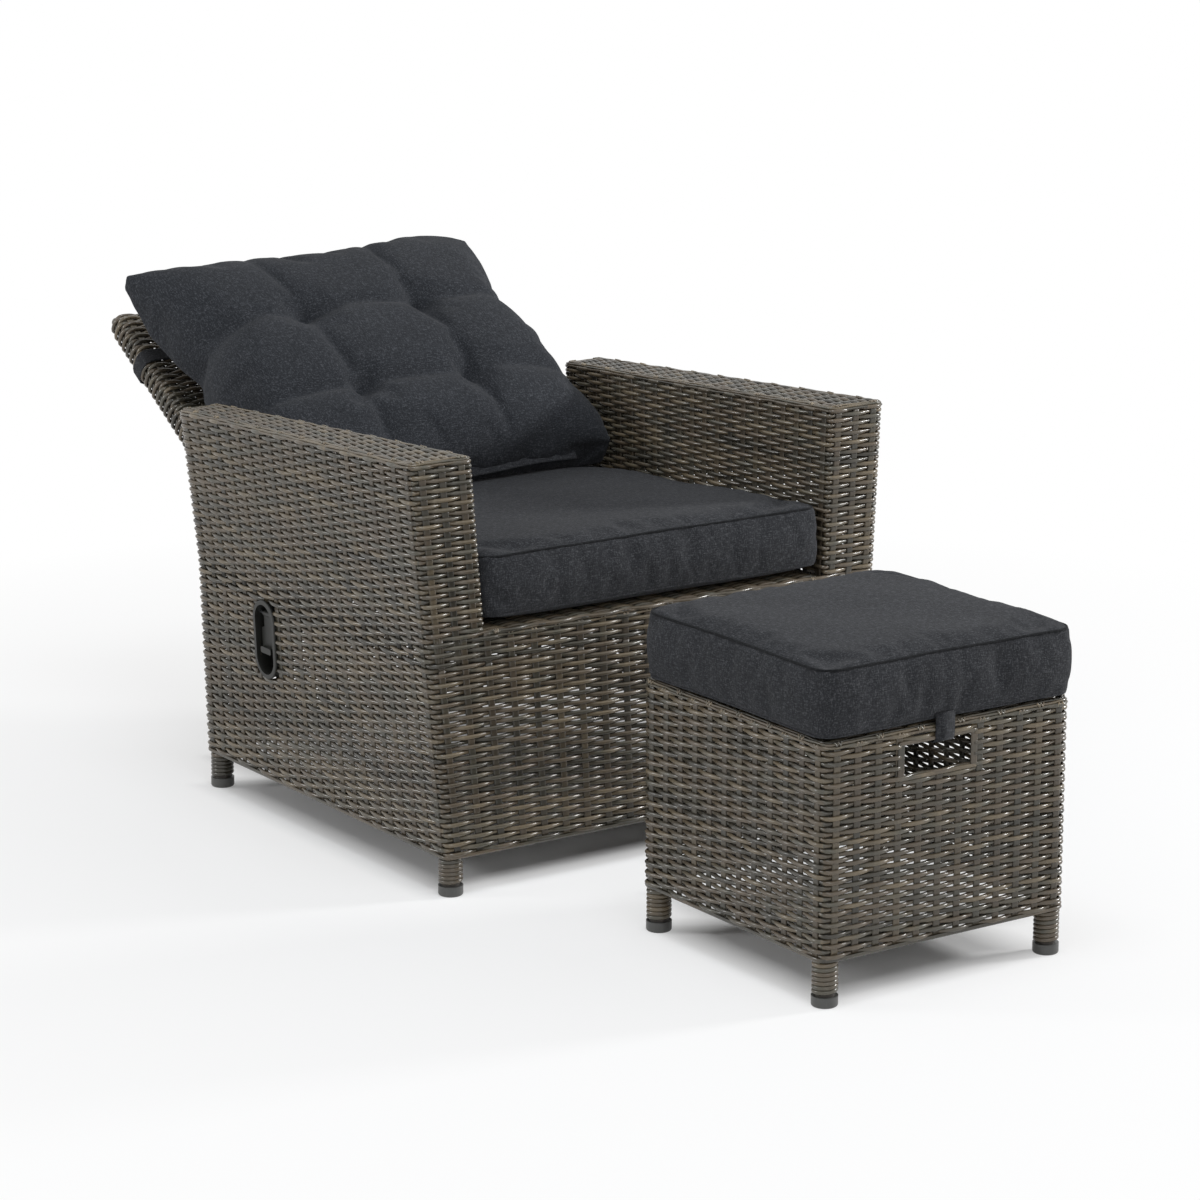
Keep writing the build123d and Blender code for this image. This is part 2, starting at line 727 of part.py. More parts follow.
# The release head: an eye, a socket for the rod, a slot across it for the lever that presses
# the release pin, and a boss that holds the end of the cable's sheath
lever_rear = rod_start - release_pin_reach - running_gap
lever_centre = lever_rear - release_lever_width / 2
lever_half = release_lever_width / 2
with BuildPart() as release_head:
    with BuildSketch(spring_side_plane(-head_width / 2)):
        Circle(head_eye_radius)
        with Locations((head_length / 2, 0)):
            Rectangle(head_length, head_height)
    extrude(amount=head_width)
    with BuildSketch(spring_side_plane(-release_lever_reach - cable_boss_radius)):
        with Locations((head_length - cable_boss_length / 2, 0)):
            Rectangle(cable_boss_length, 2 * cable_boss_radius)
    extrude(amount=release_lever_reach + cable_boss_radius)
    with BuildSketch(spring_side_plane(-head_width)):
        Circle(spring_pin_radius + running_gap)
    extrude(amount=2 * head_width, mode=Mode.SUBTRACT)
    with BuildSketch(spring_side_plane(-head_width)):
        with Locations((between(lever_centre - lever_half - running_gap, rod_start, 0.5), 0)):
            Rectangle(rod_start - lever_centre + lever_half + running_gap,
                      release_lever_thickness + 2 * running_gap)
    extrude(amount=2 * head_width, mode=Mode.SUBTRACT)
    with BuildSketch(spring_plane(rod_start)):
        Circle(rod_radius)
    extrude(amount=-head_socket - cut_overrun, mode=Mode.SUBTRACT)
    add(bar([on_spring(lever_centre, release_lever_pivot, -head_height),
             on_spring(lever_centre, release_lever_pivot, head_height)], release_lever_pin_radius),
        mode=Mode.SUBTRACT)
    add(bar([on_spring(0, -release_lever_reach), on_spring(2 * head_length, -release_lever_reach)],
            cable_radius / 2), mode=Mode.SUBTRACT)
finish(release_head.part, "release_head")

lever_plane = Plane(origin=on_spring(lever_centre, 0, -release_lever_thickness / 2),
                    x_dir=(1, 0, 0), z_dir=on_spring(0, 0, 1) - on_spring(0))
with BuildPart() as release_lever:
    with BuildSketch(lever_plane):
        with Locations((between(release_lever_pivot, -release_lever_reach, 0.5), 0)):
            SlotCenterToCenter(release_lever_pivot + release_lever_reach, release_lever_width)
        with Locations((release_lever_pivot, 0)):
            Circle(release_lever_pin_radius + running_gap, mode=Mode.SUBTRACT)
        with Locations((-release_lever_reach, 0)):
            Circle(cable_radius / 2, mode=Mode.SUBTRACT)
    extrude(amount=release_lever_thickness)
finish(release_lever.part, "release_lever")
finish(bar([on_spring(lever_centre, release_lever_pivot, -head_height / 2),
            on_spring(lever_centre, release_lever_pivot, head_height / 2)],
           release_lever_pin_radius), "release_lever_pin")

# The rail and the bracket that carry the gas spring's front end
spring_rail_place = spring_foot[0] - front_y
spring_rail_z = (deck_height(spring_rail_place) - weave_thickness - weave_gap
                 - 2 * small_rail_radius - spring_rail_radius)
spring_rail_line = seat_cross_line(spring_rail_place, spring_rail_z)
seat_bar_cutters = [bar(line, small_rail_radius) for line in seat_bars]
spring_rail = tube(spring_rail_line, spring_rail_radius, [*seat_sides, *seat_bar_cutters])
finish(largest(spring_rail), "spring_rail")
spring_rail_bar = bar(spring_rail_line, spring_rail_radius)

ear_inner = head_width / 2 + spring_side_gap
with BuildPart() as spring_bracket:
    for side in (-ear_inner - bracket_ear, ear_inner):
        add(side_plate(spring_side + side, spring_side + side + bracket_ear,
                       [spring_foot, (spring_foot[0], spring_rail_z)], bracket_ear_radius))
    with BuildSketch(side_plane(spring_side - ear_inner)):
        with Locations((spring_foot[0] - bracket_ear_radius, spring_rail_z)):
            Rectangle(2 * bracket_ear, 2 * bracket_ear_radius)
    extrude(amount=2 * ear_inner)
    add(spring_rail_bar, mode=Mode.SUBTRACT)
    add(side_pin(spring_side - 2 * head_width, spring_side + 2 * head_width,
                 spring_foot[0], spring_foot[1], spring_pin_radius), mode=Mode.SUBTRACT)
    for cutter in seat_bar_cutters:
        add(cutter, mode=Mode.SUBTRACT)
finish(largest(spring_bracket.part), "spring_bracket")
front_pin_half = ear_inner + bracket_ear
finish(side_pin(spring_side - front_pin_half, spring_side + front_pin_half,
                spring_foot[0], spring_foot[1], spring_pin_radius), "spring_front_pin")

# Release handle: its plane lies on the left side's outer face, x to the front, y up, z out
def side_point(place, height):
    return Vector(-outer_half(place, height), front_y + place, height)


handle_origin = side_point(handle_place, handle_height)
to_front = side_point(handle_place - bezel_width, handle_height) - handle_origin
upwards = side_point(handle_place, handle_height + bezel_height) - handle_origin
handle_out = to_front.cross(upwards)
handle_face = Plane(origin=handle_origin, x_dir=to_front, z_dir=handle_out)


def handle_level(out):
    return handle_face.offset(out)


def upright_slot(width, height):
    SlotOverall(height, width, rotation=90)


cup_width = bezel_width - 2 * bezel_lip
cup_height = bezel_height - 2 * bezel_lip
paddle_pin_reach = cup_width / 2 + cup_wall / 2
with BuildPart() as handle_housing:
    with BuildSketch(handle_level(0)):
        upright_slot(bezel_width, bezel_height)
    extrude(amount=bezel_thickness)
    fillet(handle_housing.edges().group_by(Axis.X)[0], radius=bezel_thickness / 2)
    with BuildSketch(handle_level(-cup_depth)):
        upright_slot(cup_width + 2 * cup_wall, cup_height + 2 * cup_wall)
    extrude(amount=cup_depth)
    with BuildSketch(handle_level(cup_wall - cup_depth)):
        upright_slot(cup_width, cup_height)
    extrude(amount=cup_depth + bezel_thickness, mode=Mode.SUBTRACT)
    with BuildSketch(handle_level(-cup_depth - cable_boss_length)):
        with Locations((0, cable_exit_height)):
            Circle(cable_boss_radius)
    extrude(amount=cable_boss_length)
    with BuildSketch(handle_level(-cup_depth - cable_boss_length - cut_overrun)):
        with Locations((0, cable_exit_height)):
            Circle(cable_radius / 2)
    extrude(amount=cup_depth + cable_boss_length, mode=Mode.SUBTRACT)
    pin_start = handle_level(-paddle_pin_depth).from_local_coords(
        Vector(-paddle_pin_reach, paddle_pin_height, 0))
    pin_end = handle_level(-paddle_pin_depth).from_local_coords(
        Vector(paddle_pin_reach, paddle_pin_height, 0))
    add(bar([pin_start, pin_end], paddle_pin_radius), mode=Mode.SUBTRACT)
finish(handle_housing.part, "handle_housing")
finish(bar([pin_start, pin_end], paddle_pin_radius), "handle_pin")

with BuildPart() as handle_paddle:
    with BuildSketch(handle_level(-paddle_pin_depth - paddle_thickness / 2)):
        with Locations((0, between(paddle_pin_height, paddle_neck_end, 0.5))):
            Rectangle(paddle_neck_width, paddle_pin_height - paddle_neck_end)
        with Locations((0, between(paddle_neck_end, paddle_end, 0.5))):
            RectangleRounded(paddle_width, paddle_neck_end - paddle_end, paddle_round)
    extrude(amount=paddle_thickness)
    with BuildSketch(handle_level(-paddle_pin_depth)):
        with Locations((0, between(paddle_end, paddle_end + paddle_lip, 0.5))):
            RectangleRounded(paddle_width - 2 * paddle_round, paddle_lip, paddle_lip / 3)
    extrude(amount=paddle_lip)
    barrel_half = paddle_neck_width / 2
    barrel_ends = [handle_level(-paddle_pin_depth).from_local_coords(Vector(end, paddle_pin_height, 0))
                   for end in (-barrel_half, barrel_half)]
    add(bar(barrel_ends, paddle_barrel_radius))
    add(bar([pin_start, pin_end], paddle_pin_radius + running_gap), mode=Mode.SUBTRACT)
finish(handle_paddle.part, "handle_paddle")

# The release cable's sheath, from the handle housing to the release head
cable_start = on_spring(head_length + cable_gap, -release_lever_reach)
cable_end = handle_level(-cup_depth - cable_boss_length).from_local_coords(
    Vector(0, cable_exit_height, -cable_gap))


def cable_point(side_share, back_from_handle, rise_share):
    return Vector(between(cable_start.X, cable_end.X, side_share), cable_end.Y - back_from_handle,
                  between(cable_start.Z, cable_end.Z, rise_share))


cable_points = [
    cable_start,
    cable_point(0, cable_bend, 0.3),
    cable_point(0.1035, cable_bend_end, 0.5),
    cable_point(0.2916, cable_ease, 0.7),
    cable_point(0.555, cable_ease, 0.85),
    cable_end,
]


def corner_radii(points):
    """The largest arc that each corner's two runs allow."""
    radii = []
    for before, here, after in zip(points, points[1:], points[2:]):
        run_in, run_out = here - before, after - here
        turn = radians(run_in.get_angle(run_out))
        radii.append(0.45 * min(run_in.length, run_out.length) / tan(turn / 2))
    return radii


cable_radii = corner_radii(cable_points)
print("cable arc radii", [round(radius, 1) for radius in cable_radii])
with BuildPart() as release_cable:
    with BuildLine() as cable_route:
        FilletPolyline(*cable_points, radius=cable_radii)
    with BuildSketch(Plane(origin=cable_points[0], z_dir=cable_points[1] - cable_points[0])):
        Circle(cable_radius)
    sweep(path=cable_route.wires()[0])
print("cable length", round(cable_route.wires()[0].length, 1),
      "volume over section", round(release_cable.part.volume / (pi * cable_radius ** 2), 1))
finish(release_cable.part, "release_cable")

# Woven skins of the arms: box shells that are open below, and inside under the seat
arm_inside = arm_block(weave_thickness, weave_thickness)
under_front = front_edge(rail_height - wall_foot_drop) + under_wall
under_rear = base_depth - weave_thickness
with BuildPart() as under_seat:
    with BuildSketch(side_plane(-inner_half(0, rail_height) - 2 * weave_thickness)):
        with BuildLine():
            Polyline((front_y + front_edge(0) + under_wall, 0),
                     (front_y + under_front, deck_height(under_front) - wall_foot_drop),
                     (front_y + under_rear, deck_height(under_rear) - wall_foot_drop),
                     (front_y + under_rear, 0), close=True)
        make_face()
    extrude(amount=inner_half(0, rail_height))
with BuildPart() as left_arm_weave:
    add(arm_block(0, 0))
    add(arm_inside, mode=Mode.SUBTRACT)
    add(under_seat.part, mode=Mode.SUBTRACT)
    add(bar(front_seat_line, rail_radius + weave_gap), mode=Mode.SUBTRACT)
    add(bar(seat_rear_line, small_rail_radius + weave_gap), mode=Mode.SUBTRACT)
    add(bar(rear_upper_line, small_rail_radius + weave_gap / 2), mode=Mode.SUBTRACT)
    add(side_pin(bracket_x, 0, hinge.Y, hinge.Z, hinge_pin_radius + hinge_hole_gap),
        mode=Mode.SUBTRACT)
arm_weave_part = left_arm_weave.part
finish(across(arm_weave_part), "right_arm_weave")
with BuildPart() as left_arm_with_hole:
    add(arm_weave_part)
    with BuildSketch(handle_level(-cup_depth)):
        upright_slot(cup_width + 2 * cup_wall + 2 * cup_gap, cup_height + 2 * cup_wall + 2 * cup_gap)
    extrude(amount=2 * cup_depth, mode=Mode.SUBTRACT)
    with BuildSketch(handle_level(0)):
        upright_slot(bezel_width + cup_gap, bezel_height + cup_gap)
    extrude(amount=cup_depth, mode=Mode.SUBTRACT)
finish(left_arm_with_hole.part, "left_arm_weave")

# Front and rear skins between the arms, and the seat deck
front_lean = atan2(arm_lean_front, arm_height_front - leg_height)
front_face = Plane(origin=(0, front_y, leg_height), x_dir=(1, 0, 0),
                   z_dir=(0, -cos(front_lean), sin(front_lean)))
deck_start = front_edge(rail_height)
front_top_height = deck_height(deck_start + 2 * weave_thickness) - weave_thickness - weave_gap


def skin_panel(plane, bottom_half, top_half, height):
    """A flat woven panel that fits between the arms' inner walls."""
    low, high = bottom_half - skin_side_gap, top_half - skin_side_gap
    with BuildPart() as panel:
        with BuildSketch(plane):
            with BuildLine():
                Polyline((-low, 0), (low, 0), (high, height), (-high, height), close=True)
            make_face()
        extrude(amount=-weave_thickness)
    return panel.part


front_weave = skin_panel(front_face, seat_gap_base / 2, inner_half(0, front_top_height),
                         (front_top_height - leg_height) / cos(front_lean))
finish(front_weave, "front_weave")

rear_face = Plane(origin=(0, front_y + base_depth, leg_height), x_dir=(-1, 0, 0), z_dir=(0, 1, 0))
rear_top_height = rear_rail_height + small_rail_radius
rear_weave = skin_panel(rear_face, seat_gap_base / 2, inner_half(base_depth, rear_top_height),
                        rear_top_height - leg_height)
finish(rear_weave, "rear_weave")

deck_plane = section_plane([Vector(0, front_y, rail_height),
                            Vector(0, front_y + deck_depth, deck_height(deck_depth))], 0)
deck_length = hypot(deck_depth, rail_height - deck_height(deck_depth))
deck_front_half = inner_half(0, rail_height - weave_thickness) - skin_side_gap
deck_rear_half = inner_half(deck_depth, deck_height(deck_depth) - weave_thickness) - skin_side_gap
with BuildPart() as seat_weave:
    with BuildSketch(deck_plane):
        with BuildLine():
            Polyline((-deck_front_half, deck_start), (deck_front_half, deck_start),
                     (deck_rear_half, deck_length), (-deck_rear_half, deck_length), close=True)
        make_face()
    extrude(amount=-weave_thickness)
finish(seat_weave.part, "seat_weave")


# Feet and leg wraps
def foot_cap(x, y, post_outer):
    """A plastic cap under a post, with its plug inside the tube."""
    with BuildPart() as cap:
        with BuildSketch(Plane.XY):
            with Locations((x, y)):
                Circle(post_outer + wrap_thickness + cap_flare)
        extrude(amount=cap_height)
        fillet(cap.edges().group_by(Axis.Z)[0], radius=cap_edge)
        with BuildSketch(Plane.XY.offset(cap_height)):
            with Locations((x, y)):
                Circle(post_outer - tube_wall - weave_gap)
        extrude(amount=cap_plug_length)
    return cap.part


def leg_wrap(x, y, post_outer, top):
    """The strand that is wound round the bare end of a post."""
    with BuildPart() as wrap:
        with BuildSketch(Plane.XY.offset(cap_height)):
            with Locations((x, y)):
                Circle(post_outer + wrap_thickness)
                Circle(post_outer, mode=Mode.SUBTRACT)
        extrude(amount=top - cap_height)
    return wrap.part


chair_legs = [(x, y) for x in (-leg_x, leg_x) for y in (front_leg_y, rear_leg_y)]
chair_caps = [foot_cap(x, y, post_radius) for x, y in chair_legs]
chair_wraps = [leg_wrap(x, y, post_radius, leg_height - wrap_top_gap) for x, y in chair_legs]
finish(group(*chair_caps), "chair_foot_caps")
finish(group(*chair_wraps), "chair_leg_wraps")


# Cushions: closed sections set along the cushion, with arcs over and under
def cushion_section(plane, half_width, top, bottom, edge_top, edge_bottom):
    """One section: its upper edge runs in equal arcs through the points of top."""
    with BuildSketch(plane) as section:
        with BuildLine():
            for points, ends in ((top, edge_top), (bottom, edge_bottom)):
                count = (len(points) + 1) // 2
                step = 2 * half_width / count
                heights = [ends, *points, ends]
                for index in range(count):
                    left = -half_width + step * index
                    ThreePointArc((left, heights[2 * index]),
                                  (left + step / 2, heights[2 * index + 1]),
                                  (left + step, heights[2 * index + 2]))
            Line((-half_width, edge_bottom), (-half_width, edge_top))
            Line((half_width, edge_bottom), (half_width, edge_top))
        make_face()
    return section.sketch


def box_cushion(base, width, depth, side, belly, crown):
    """A box cushion with a crowned top, a full underside and sides that draw in."""
    stations = [0.0, 0.14, 0.5, 0.86, 1.0]
    rise_shares = [edge_rise, 0.7, 1.0, 0.7, edge_rise]
    sections = []
    for station, rise in zip(stations, rise_shares):
        drawn = cushion_draw * sin(radians(180 * station))
        plane = Plane(origin=base.origin + base.y_dir * (depth * station), x_dir=base.x_dir,
                      z_dir=-base.y_dir)
        sections.append(cushion_section(plane, width / 2 - drawn, [belly + side + crown * rise],
                                        [belly * (1 - rise)], belly + side, belly))
    with BuildPart() as cushion:
        loft(sections=sections)
    return cushion.part


seat_base = deck_plane.offset(cushion_gap)
seat_base = Plane(origin=seat_base.origin + seat_base.y_dir * (deck_start - cushion_gap),
                  x_dir=seat_base.x_dir, z_dir=seat_base.z_dir)
seat_cushion = box_cushion(seat_base, seat_cushion_width, seat_cushion_depth, seat_cushion_side,
                           seat_cushion_belly, seat_cushion_crown)
finish(seat_cushion, "seat_cushion")

# The back cushion: three rows of three puffs with four sewn tufts between them. It lies on the
# panel's upper half and on the rear of the seat cushion.
cushion_angle = back_angle - radians(back_cushion_lean)
seam_along = Vector(0, cos(cushion_angle), sin(cushion_angle))
seam_start = on_back(0, back_cushion_start, back_cushion_stand)
puff_stations = [0.0, 0.1, 0.34, 0.5, 0.69, 0.88, 1.0]
front_puff_shares = [0.17, 0.8, 0.62, 0.95, 0.55, 0.42, 0.17]
front_knot_shares = [0.15, 0.6, 0.18, 0.72, 0.16, 0.31, 0.15]
rear_rise_shares = [0.25, 0.72, 0.945, 0.98, 1.0, 0.73, 0.13]
rear_side_shares = [0.2, 0.4, 0.58, 0.64, 0.62, 0.5, 0.11]
edge_draw_shares = [0.97, 0.75, 1.0, 0.72, 1.0, 0.4, 0.0]
edge_puff_share = 0.82
back_sections = []
for station, puff, knot, rear, side, draw in zip(puff_stations, front_puff_shares,
                                                 front_knot_shares, rear_rise_shares,
                                                 rear_side_shares, edge_draw_shares):
    puff_rise = back_cushion_front_rise * puff
    knot_rise = back_cushion_front_rise * knot
    plane = Plane(origin=seam_start + seam_along * (back_cushion_length * station), x_dir=(1, 0, 0),
                  z_dir=-seam_along)
    edge_puff = between(back_cushion_edge, puff_rise, edge_puff_share)
    back_sections.append(cushion_section(
        plane, back_cushion_width / 2 - back_cushion_draw * draw,
        [edge_puff, knot_rise, puff_rise, knot_rise, edge_puff],
        [-back_cushion_rear_rise * rear], back_cushion_edge, -back_cushion_rear_rise * side))
with BuildPart() as back_cushion:
    loft(sections=back_sections)
finish(back_cushion.part, "back_cushion")

# The strap is a loop round the panel, behind the cushion
strap_gap = cushion_gap
with BuildPart() as back_strap:
    with BuildSketch(back_plane(strap_place + strap_width / 2)):
        Rectangle(back_width + 2 * (strap_gap + strap_thickness),
                  2 * (back_half + strap_gap + strap_thickness))
        Rectangle(back_width + 2 * strap_gap, 2 * (back_half + strap_gap), mode=Mode.SUBTRACT)
    extrude(amount=strap_width)
finish(back_strap.part, "back_strap")

# Ottoman: four posts, two rings of rails, woven skins, and a cushion held by two straps
ottoman_y = front_y - ottoman_front + ottoman_depth / 2
ottoman_skin_corner = leg_inset
ottoman_leg_x = ottoman_width / 2 - leg_inset
ottoman_leg_y = ottoman_depth / 2 - leg_inset
ottoman_corners = [(-ottoman_leg_x, -ottoman_leg_y), (ottoman_leg_x, -ottoman_leg_y),
                   (ottoman_leg_x, ottoman_leg_y), (-ottoman_leg_x, ottoman_leg_y)]
ottoman_legs = [(ottoman_shift + x, ottoman_y + y) for x, y in ottoman_corners]
ottoman_post_top = ottoman_weave_height - weave_thickness - weave_gap
ottoman_post_lines = [[Vector(x, y, post_foot), Vector(x, y, ottoman_post_top)] for x, y in ottoman_legs]
finish(group(*[tube(line, post_radius) for line in ottoman_post_lines]), "ottoman_posts")
ottoman_post_bars = [bar(line, post_radius) for line in ottoman_post_lines]
ottoman_rails = []
for height in (ottoman_leg_height + weave_thickness + small_rail_radius,
               ottoman_post_top - small_rail_radius):
    ring = [Vector(x, y, height) for x, y in ottoman_legs]
    for index, start in enumerate(ring):
        rail_ends = [start, ring[(index + 1) % len(ring)]]
        ottoman_rails.append(largest(tube(rail_ends, small_rail_radius, ottoman_post_bars)))
finish(group(*ottoman_rails), "ottoman_rails")

hand_hole_z = ottoman_weave_height - hand_hole_top_drop - hand_hole_height / 2
with BuildPart() as ottoman_weave:
    with BuildSketch(Plane.XY.offset(ottoman_leg_height)):
        with Locations((ottoman_shift, ottoman_y)):
            RectangleRounded(ottoman_width, ottoman_depth, ottoman_skin_corner)
            RectangleRounded(ottoman_width - 2 * weave_thickness, ottoman_depth - 2 * weave_thickness,
                             ottoman_skin_corner - weave_thickness, mode=Mode.SUBTRACT)
    extrude(amount=ottoman_weave_height - weave_thickness - ottoman_leg_height)
    with BuildSketch(Plane(origin=(0, ottoman_y - ottoman_depth, 0), x_dir=(1, 0, 0), z_dir=(0, -1, 0))):
        with Locations((ottoman_shift + hand_hole_shift, hand_hole_z)):
            RectangleRounded(hand_hole_width, hand_hole_height, hand_hole_radius)
    extrude(amount=-2 * ottoman_depth, mode=Mode.SUBTRACT)
finish(ottoman_weave.part, "ottoman_weave")

with BuildPart() as ottoman_top:
    with BuildSketch(Plane.XY.offset(ottoman_weave_height - weave_thickness)):
        with Locations((ottoman_shift, ottoman_y)):
            RectangleRounded(ottoman_width, ottoman_depth, ottoman_skin_corner)
    extrude(amount=weave_thickness)
finish(ottoman_top.part, "ottoman_top_weave")

ottoman_caps = [foot_cap(x, y, post_radius) for x, y in ottoman_legs]
ottoman_wraps = [leg_wrap(x, y, post_radius, ottoman_leg_height) for x, y in ottoman_legs]
finish(group(*ottoman_caps), "ottoman_foot_caps")
finish(group(*ottoman_wraps), "ottoman_leg_wraps")

ottoman_base = Plane(origin=(ottoman_shift, front_y - ottoman_front,
                             ottoman_weave_height + cushion_gap), x_dir=(1, 0, 0), z_dir=(0, 0, 1))
ottoman_cushion = box_cushion(ottoman_base, ottoman_cushion_width, ottoman_cushion_depth,
                              ottoman_cushion_side, ottoman_cushion_belly, ottoman_cushion_crown)
finish(ottoman_cushion, "ottoman_cushion")

# Each strap hangs from the cushion's lower seam and hooks through the hand hole below it
strap_top = ottoman_weave_height + ottoman_cushion_belly * (1 - edge_rise) - cushion_gap
strap_foot = ottoman_weave_height - hand_hole_top_drop - cushion_gap - strap_thickness
strap_x = ottoman_shift + hand_hole_shift + ottoman_strap_shift


def hook_strap(face_y, inward):
    """A strap down the outside of the wall at face_y that turns inward at its foot."""
    outer_y = face_y - inward * (cushion_gap + strap_thickness)
    inner_y = face_y + inward * ottoman_strap_hook
    with BuildPart() as strap:
        with BuildSketch(side_plane(strap_x - ottoman_strap_width / 2)):
            with Locations((outer_y + inward * strap_thickness / 2, between(strap_foot, strap_top, 0.5))):
                Rectangle(strap_thickness, strap_top - strap_foot)
            with Locations((between(outer_y, inner_y, 0.5), strap_foot + strap_thickness / 2)):
                Rectangle(abs(inner_y - outer_y), strap_thickness)
        extrude(amount=ottoman_strap_width)
    return strap.part


ottoman_straps = [hook_strap(ottoman_y - ottoman_depth / 2, 1),
                  hook_strap(ottoman_y + ottoman_depth / 2, -1)]
finish(group(*ottoman_straps), "ottoman_straps")
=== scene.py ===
# Outdoor recliner with ottoman, woven from plastic strands over welded tubes, with
# loose cushions. One unit is one metre; the chair faces -Y and the floor is at z = 0.
from math import cos, pi, radians, sin

import bmesh
import bpy
import numpy as np
from mathutils import Matrix, Vector


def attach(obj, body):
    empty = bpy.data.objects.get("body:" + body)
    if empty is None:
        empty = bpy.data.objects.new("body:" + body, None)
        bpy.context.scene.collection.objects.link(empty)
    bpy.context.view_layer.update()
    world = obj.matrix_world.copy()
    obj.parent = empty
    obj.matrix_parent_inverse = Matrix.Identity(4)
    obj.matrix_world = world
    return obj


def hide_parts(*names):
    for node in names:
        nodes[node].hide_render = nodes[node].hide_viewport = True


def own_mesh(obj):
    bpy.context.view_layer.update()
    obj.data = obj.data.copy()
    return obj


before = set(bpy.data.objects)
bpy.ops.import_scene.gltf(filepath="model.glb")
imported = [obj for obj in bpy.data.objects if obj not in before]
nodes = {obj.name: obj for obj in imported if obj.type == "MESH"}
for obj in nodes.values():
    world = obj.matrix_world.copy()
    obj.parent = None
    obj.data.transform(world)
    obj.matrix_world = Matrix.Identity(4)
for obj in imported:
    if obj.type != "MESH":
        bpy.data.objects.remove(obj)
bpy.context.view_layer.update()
scene = bpy.context.scene
mm = 0.001

# The studio: a long lens at eye height to the chair's left, a pale floor that runs out to
# white, two small lamps that glint on the strands and two wide ones that fill the shadows.
def added(name, data):
    """A new object in the scene."""
    made = bpy.data.objects.new(name, data)
    scene.collection.objects.link(made)
    return made


camera_data = bpy.data.cameras.new("camera")
camera_data.sensor_width = 36
camera_data.lens = 118.5
camera_data.shift_x = 0.0044
camera_data.shift_y = -0.0366
camera_data.clip_end = 50
camera = added("camera", camera_data)
camera.matrix_world = (Matrix.Translation((-3.0568, -4.4896, 1.6556))
                       @ Matrix.Rotation(radians(-34.61), 4, "Z")
                       @ Matrix.Rotation(radians(90 - 13.20), 4, "X")
                       @ Matrix.Rotation(radians(0.12), 4, "Z"))
scene.camera = camera
scene.view_settings.view_transform = "Standard"


def linear(colour, share=1.0):
    """An sRGB hex colour as the linear values that the shaders take, times a share."""
    parts = [int(colour[i:i + 2], 16) / 255 for i in (0, 2, 4)]
    return [*(share * (p / 12.92 if p <= 0.04045 else ((p + 0.055) / 1.055) ** 2.4)
              for p in parts), 1.0]


def node(tree, kind, settings=(), values=(), links=()):
    """Adds a node, sets its properties and sockets, and links its inputs."""
    new = tree.nodes.new(kind)
    for name, value in dict(settings).items():
        setattr(new, name, value)
    for name, value in dict(values).items():
        new.inputs[name].default_value = value
    for name, source in dict(links).items():
        tree.links.new(source, new.inputs[name])
    return new


def maths(tree, operation, first, second):
    """The sum, the product or the larger or smaller of two sockets."""
    return node(tree, "ShaderNodeMath", {"operation": operation},
                links={0: first, 1: second}).outputs[0]


def remap(tree, value, low, high, start=0.0, end=1.0):
    """A socket's value, carried from start and end to low and high."""
    return node(tree, "ShaderNodeMapRange",
                values={"From Min": start, "From Max": end, "To Min": low, "To Max": high},
                links={"Value": value}).outputs[0]


def object_place(tree):
    return node(tree, "ShaderNodeTexCoord").outputs["Object"]


def material(name, roughness, colour=None, **sockets):
    """A principled material, with its tree and its shader."""
    made = bpy.data.materials.new(name)
    made.use_nodes = True
    shader = made.node_tree.nodes["Principled BSDF"]
    shader.inputs["Roughness"].default_value = roughness
    if colour:
        shader.inputs["Base Color"].default_value = linear(colour)
    for socket, value in sockets.items():
        shader.inputs[socket.replace("_", " ")].default_value = value
    return made, made.node_tree, shader


def lamp(name, size, power, place, target, tint=(1, 1, 1)):
    data = bpy.data.lights.new(name, "AREA")
    data.color = tint
    data.shape = "RECTANGLE"
    data.size, data.size_y = size
    data.energy = power
    made = added(name, data)
    made.location = place
    made.rotation_euler = (Vector(target) - Vector(place)).to_track_quat("-Z", "Y").to_euler()


lamp("left softbox", (0.7, 0.5), 35, (-3.4, 1.7, 1.6), (0, 0, 0.35))
lamp("right softbox", (0.65, 0.5), 92, (3.4, -1.6, 1.75), (0, -0.2, 0.35))
lamp("overhead softbox", (1.3, 1.0), 38, (-0.5, -0.9, 3.3), (0, -0.1, 0.3), (0.9, 0.95, 1.0))
lamp("front fill", (2.0, 1.3), 24, (-1.4, -4.8, 2.1), (0, -0.2, 0.4))


def seen_directly(tree):
    """One for rays from the camera, in a reflection or through glass."""
    paths = node(tree, "ShaderNodeLightPath").outputs
    either = maths(tree, "MAXIMUM", paths["Is Camera Ray"], paths["Is Glossy Ray"])
    return maths(tree, "MAXIMUM", either, paths["Is Transmission Ray"])


# The world is plain white where it is seen and gives 0.38 of that as light.
world = bpy.data.worlds.new("white studio")
world.use_nodes = True
scene.world = world
tree = world.node_tree
background = tree.nodes["Background"]
background.inputs["Color"].default_value = (1, 1, 1, 1)
tree.links.new(remap(tree, seen_directly(tree), 0.38, 1.0), background.inputs["Strength"])


def as_mesh(name, bm):
    """A bmesh as a new mesh; the bmesh is freed."""
    mesh = bpy.data.meshes.new(name)
    bm.to_mesh(mesh)
    bm.free()
    return mesh


